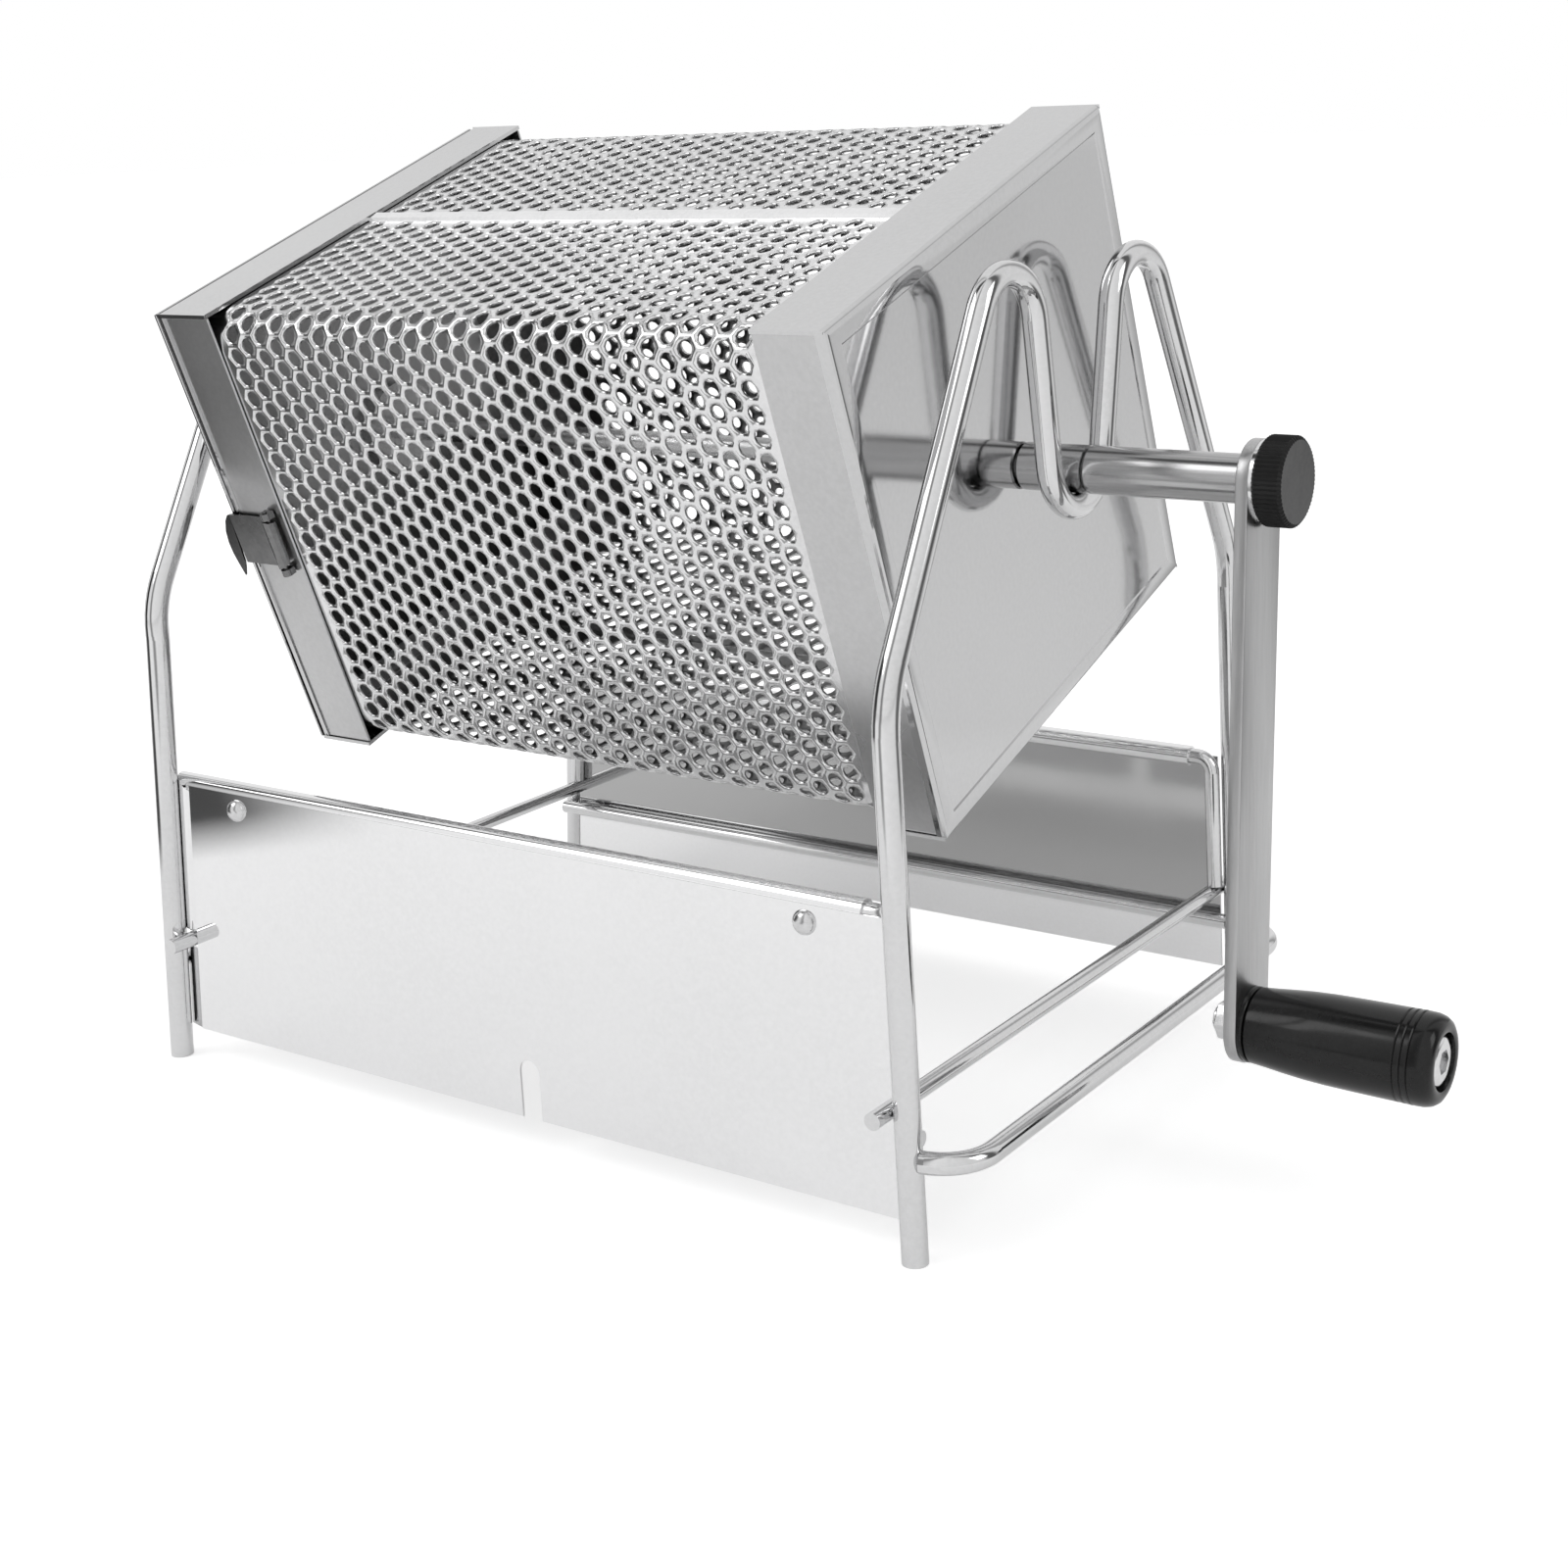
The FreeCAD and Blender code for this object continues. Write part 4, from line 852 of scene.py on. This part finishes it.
# ---------------------------------------------------------------- handle
# A barrel-shaped handle moulded in glossy black, with three fine rings near its end and a well
# for the bolt's head. A black collar keeps it off the arm.
low_end = crank_turn @ Matrix.Translation((0, 0, -crank_throw))
grip_near, bore = 118.56, 3.3
collar_near, collar_far, collar_bore = 117.16, 118.36, 3.4
handle_black = finish("handle_black", 0.012, 0.007, 0.12, 0.2, metallic=0.0, gloss=0.3, clouds=120,
                      relief=0.05)
barrel = [(0, bore), (0, 8.2), (0.5, 8.75), (4, 9.05), (8, 9.5), (13, 9.95), (18, 10.2), (24, 10.32),
          (31, 10.42), (35.2, 10.45), (35.5, 10.2), (35.8, 10.46), (36.8, 10.48), (37.1, 10.22),
          (37.4, 10.48), (38.4, 10.5), (38.7, 10.22), (39, 10.48), (41, 10.4), (42.4, 10),
          (43.4, 9.3), (43.9, 8.4), (43.99, 7.2), (43.8, 6.6), (41, 6.5), (41, bore)]
grip = bmesh.new()
turned_about_x(grip, [(grip_near + along, out) for along, out in barrel], 64)
closed_up(grip).transform(low_end)
piece_from(grip, "moulded_handle", handle_black, "handle", ["grip_handle"])
collar = bmesh.new()
turned_about_x(collar, [(collar_near, collar_bore), (collar_near, 8.6), (117.4, 8.75), (118.15, 8.75),
                        (collar_far, 8.5), (collar_far, collar_bore)], 48)
closed_up(collar).transform(low_end)
piece_from(collar, "handle_collar", handle_black, "drum", ["grip_washer"])

# ---------------------------------------------------------------- handle bolt and nut
# A bright domed bolt with a hexagon socket holds the handle, and a flanged nut locks it behind
# the arm.
crown_x, crown_radius, socket_radius, socket_depth = 162.15 * mm, 4.2 * mm, 2.9 * mm, 1.8 * mm
shank_near, shank_far, shank_radius = 108.8, 159.8, 3.22
nut_near, nut_length, nut_radius, nut_rounding = 109.8 * mm, 3.3 * mm, 4.8 * mm, 0.3 * mm
nut_flange = [(112.9, 4), (112.9, 5.6), (113.3, 6), (114.1, 6), (114.1, 4)]
bolt_dome = [(161.9, 5.2), (161.4, 5.8), (160.9, 6), (shank_far, 6)]
bolt = bmesh.new()
circle_round_x(bolt, crown_x, socket_radius, 6)
bmesh.ops.subdivide_edges(bolt, edges=bolt.edges[:], cuts=5)
socket_rim = bolt.edges[:]
bmesh.ops.contextual_create(bolt, geom=pulled_out(bolt, socket_rim, (-socket_depth, 0, 0)))
ring_edges = edges_joining(bolt, circle_round_x(bolt, crown_x, crown_radius, 36))
bmesh.ops.bridge_loops(bolt, edges=socket_rim + ring_edges)
for along, out in bolt_dome:
    ring = pulled_out(bolt, ring_edges, (0, 0, 0))
    ring_edges = edges_joining(bolt, ring)
    for vertex in ring:
        spoke = Vector((0, vertex.co.y, vertex.co.z)).normalized() * out * mm
        vertex.co = Vector((along * mm, spoke.y, spoke.z))
bmesh.ops.contextual_create(bolt, geom=ring)
turned_about_x(bolt, [(shank_far, shank_radius), (109.2, shank_radius), (shank_near, 2.8),
                      (shank_near, 0)], 24)
closed_up(bolt).transform(low_end)
piece_from(bolt, "socket_head_bolt", bright_hardware, "drum", ["grip_bolt"])
nut = bmesh.new()
circle_round_x(nut, nut_near, nut_radius, 6, filled=True)
thickened(nut, nut_length)
bmesh.ops.bevel(nut, geom=nut.edges[:], offset=nut_rounding, segments=2, profile=0.5, affect="EDGES",
                material=-1)
turned_about_x(nut, nut_flange, 36)
nut.transform(low_end)
piece_from(nut, "flanged_nut", bright_hardware, "drum", ["grip_nut"], crease=15)

# ---------------------------------------------------------------- lid latch
# A bent stainless leaf swings on a pin across the front flange. A curved petal stands past the lid's edge,
# painted darker than the leaf as painted shade, for the darker reflection of a petal bent away from the
# flange. The catch behind it keeps the lid shut, and is painted near black as the painted shade of the dark
# gap behind leaf and petal. The leaf's points are (x, y, z) in millimetres on the unturned drum.
petal_start = -142.2 * mm
leaf_top, leaf_play, leaf_sheet = 7 * mm, 0.4 * mm, 0.5 * mm
catch_rounding = 0.1 * mm
catch_low, catch_high = (-142.7 * mm, -62.8 * mm, -7 * mm), (-141.95 * mm, -60.6 * mm, 6.4 * mm)
latch_steel = finish("latch_steel", 0.22, 0.16, 0.2, 0.28, turn=-drum_lean, clouds=70)
# Painted shade: the petal is painted darker than the leaf, for its darker reflection where it bends away.
petal_painted_shade = finish("petal_painted_shade", 0.11, 0.07, 0.2, 0.3, turn=-drum_lean, clouds=70)
# Painted shade: the catch is painted near black, standing for the dark gap behind the latch.
catch_painted_shade = finish("catch_painted_shade", 0.05, 0.03, 0.4, 0.5, turn=-drum_lean)
knuckle = [(-125.9, -63.0, -5.6), (-125.44, -64.1, -5.8), (-125.8, -65.1, -6.1), (-126.84, -65.5, -6.6),
           (-127.8, -65.1, -6.9), (-128.7, -64.1, -7.0), (-129.6, -63.15, -7.0), (-141.9, -63.1, -7.0)]
petal = [(-141.9, -63.1, 7.0), (-142.8, -63.1, 6.7), (-144.2, -63.1, 5.0), (-145.6, -63.1, 1.9),
         (-146.2, -63.1, -1.4), (-146.1, -63.1, -4.6), (-145.5, -63.1, -7.6), (-144.6, -63.1, -11.2),
         (-143.5, -63.1, -8.8), (-142.8, -63.1, -6.9), (-142.8, -63.1, 5.9), (-141.9, -63.1, 5.9)]
leaf = bmesh.new()
lower_edge = [leaf.verts.new(Vector(point) * mm) for point in knuckle]
upper_edge = pulled_out(leaf, [leaf.edges.new(pair) for pair in zip(lower_edge, lower_edge[1:])],
                        (0, 0, 0))
for vertex in upper_edge:
    vertex.co.z = min(leaf_top, leaf_play - vertex.co.z)
flat_petal = leaf.faces.new([leaf.verts.new(Vector(point) * mm) for point in petal])
bmesh.ops.triangulate(leaf, faces=[flat_petal])
bmesh.ops.remove_doubles(leaf, verts=leaf.verts[:], dist=0.01 * mm)
bmesh.ops.recalc_face_normals(leaf, faces=leaf.faces[:])
leaf.transform(drum_turn)
swinging_leaf = piece_from(leaf, "bent_latch_leaf", latch_steel, "latch", ["latch_leaf"],
                           thickness=leaf_sheet)
# The petal's faces take the painted shade.
recoat(swinging_leaf, petal_painted_shade, lambda patch: patch.center.x < petal_start)
catch = bmesh.new()
pressed_box(catch, catch_low, catch_high, catch_rounding)
catch.transform(drum_turn)
piece_from(catch, "latch_catch", catch_painted_shade, "latch", [], crease=15)
dress(latch_steel, "latch_ears", "latch_pin")

# ---------------------------------------------------------------- lid hinge
# A small butt hinge of stainless sheet on the back flange, its eyes rolled round a bright pin. One
# leaf is fixed to the lid's frame and the other to the lid.
dress(finish("hinge_steel", 0.55, 0.48, 0.2, 0.26, turn=-drum_lean, clouds=20, relief=0.01),
      "hinge_frame_leaf", "hinge_door_leaf")
dress(bright_hardware, "hinge_pin")

bpy.context.view_layer.update()
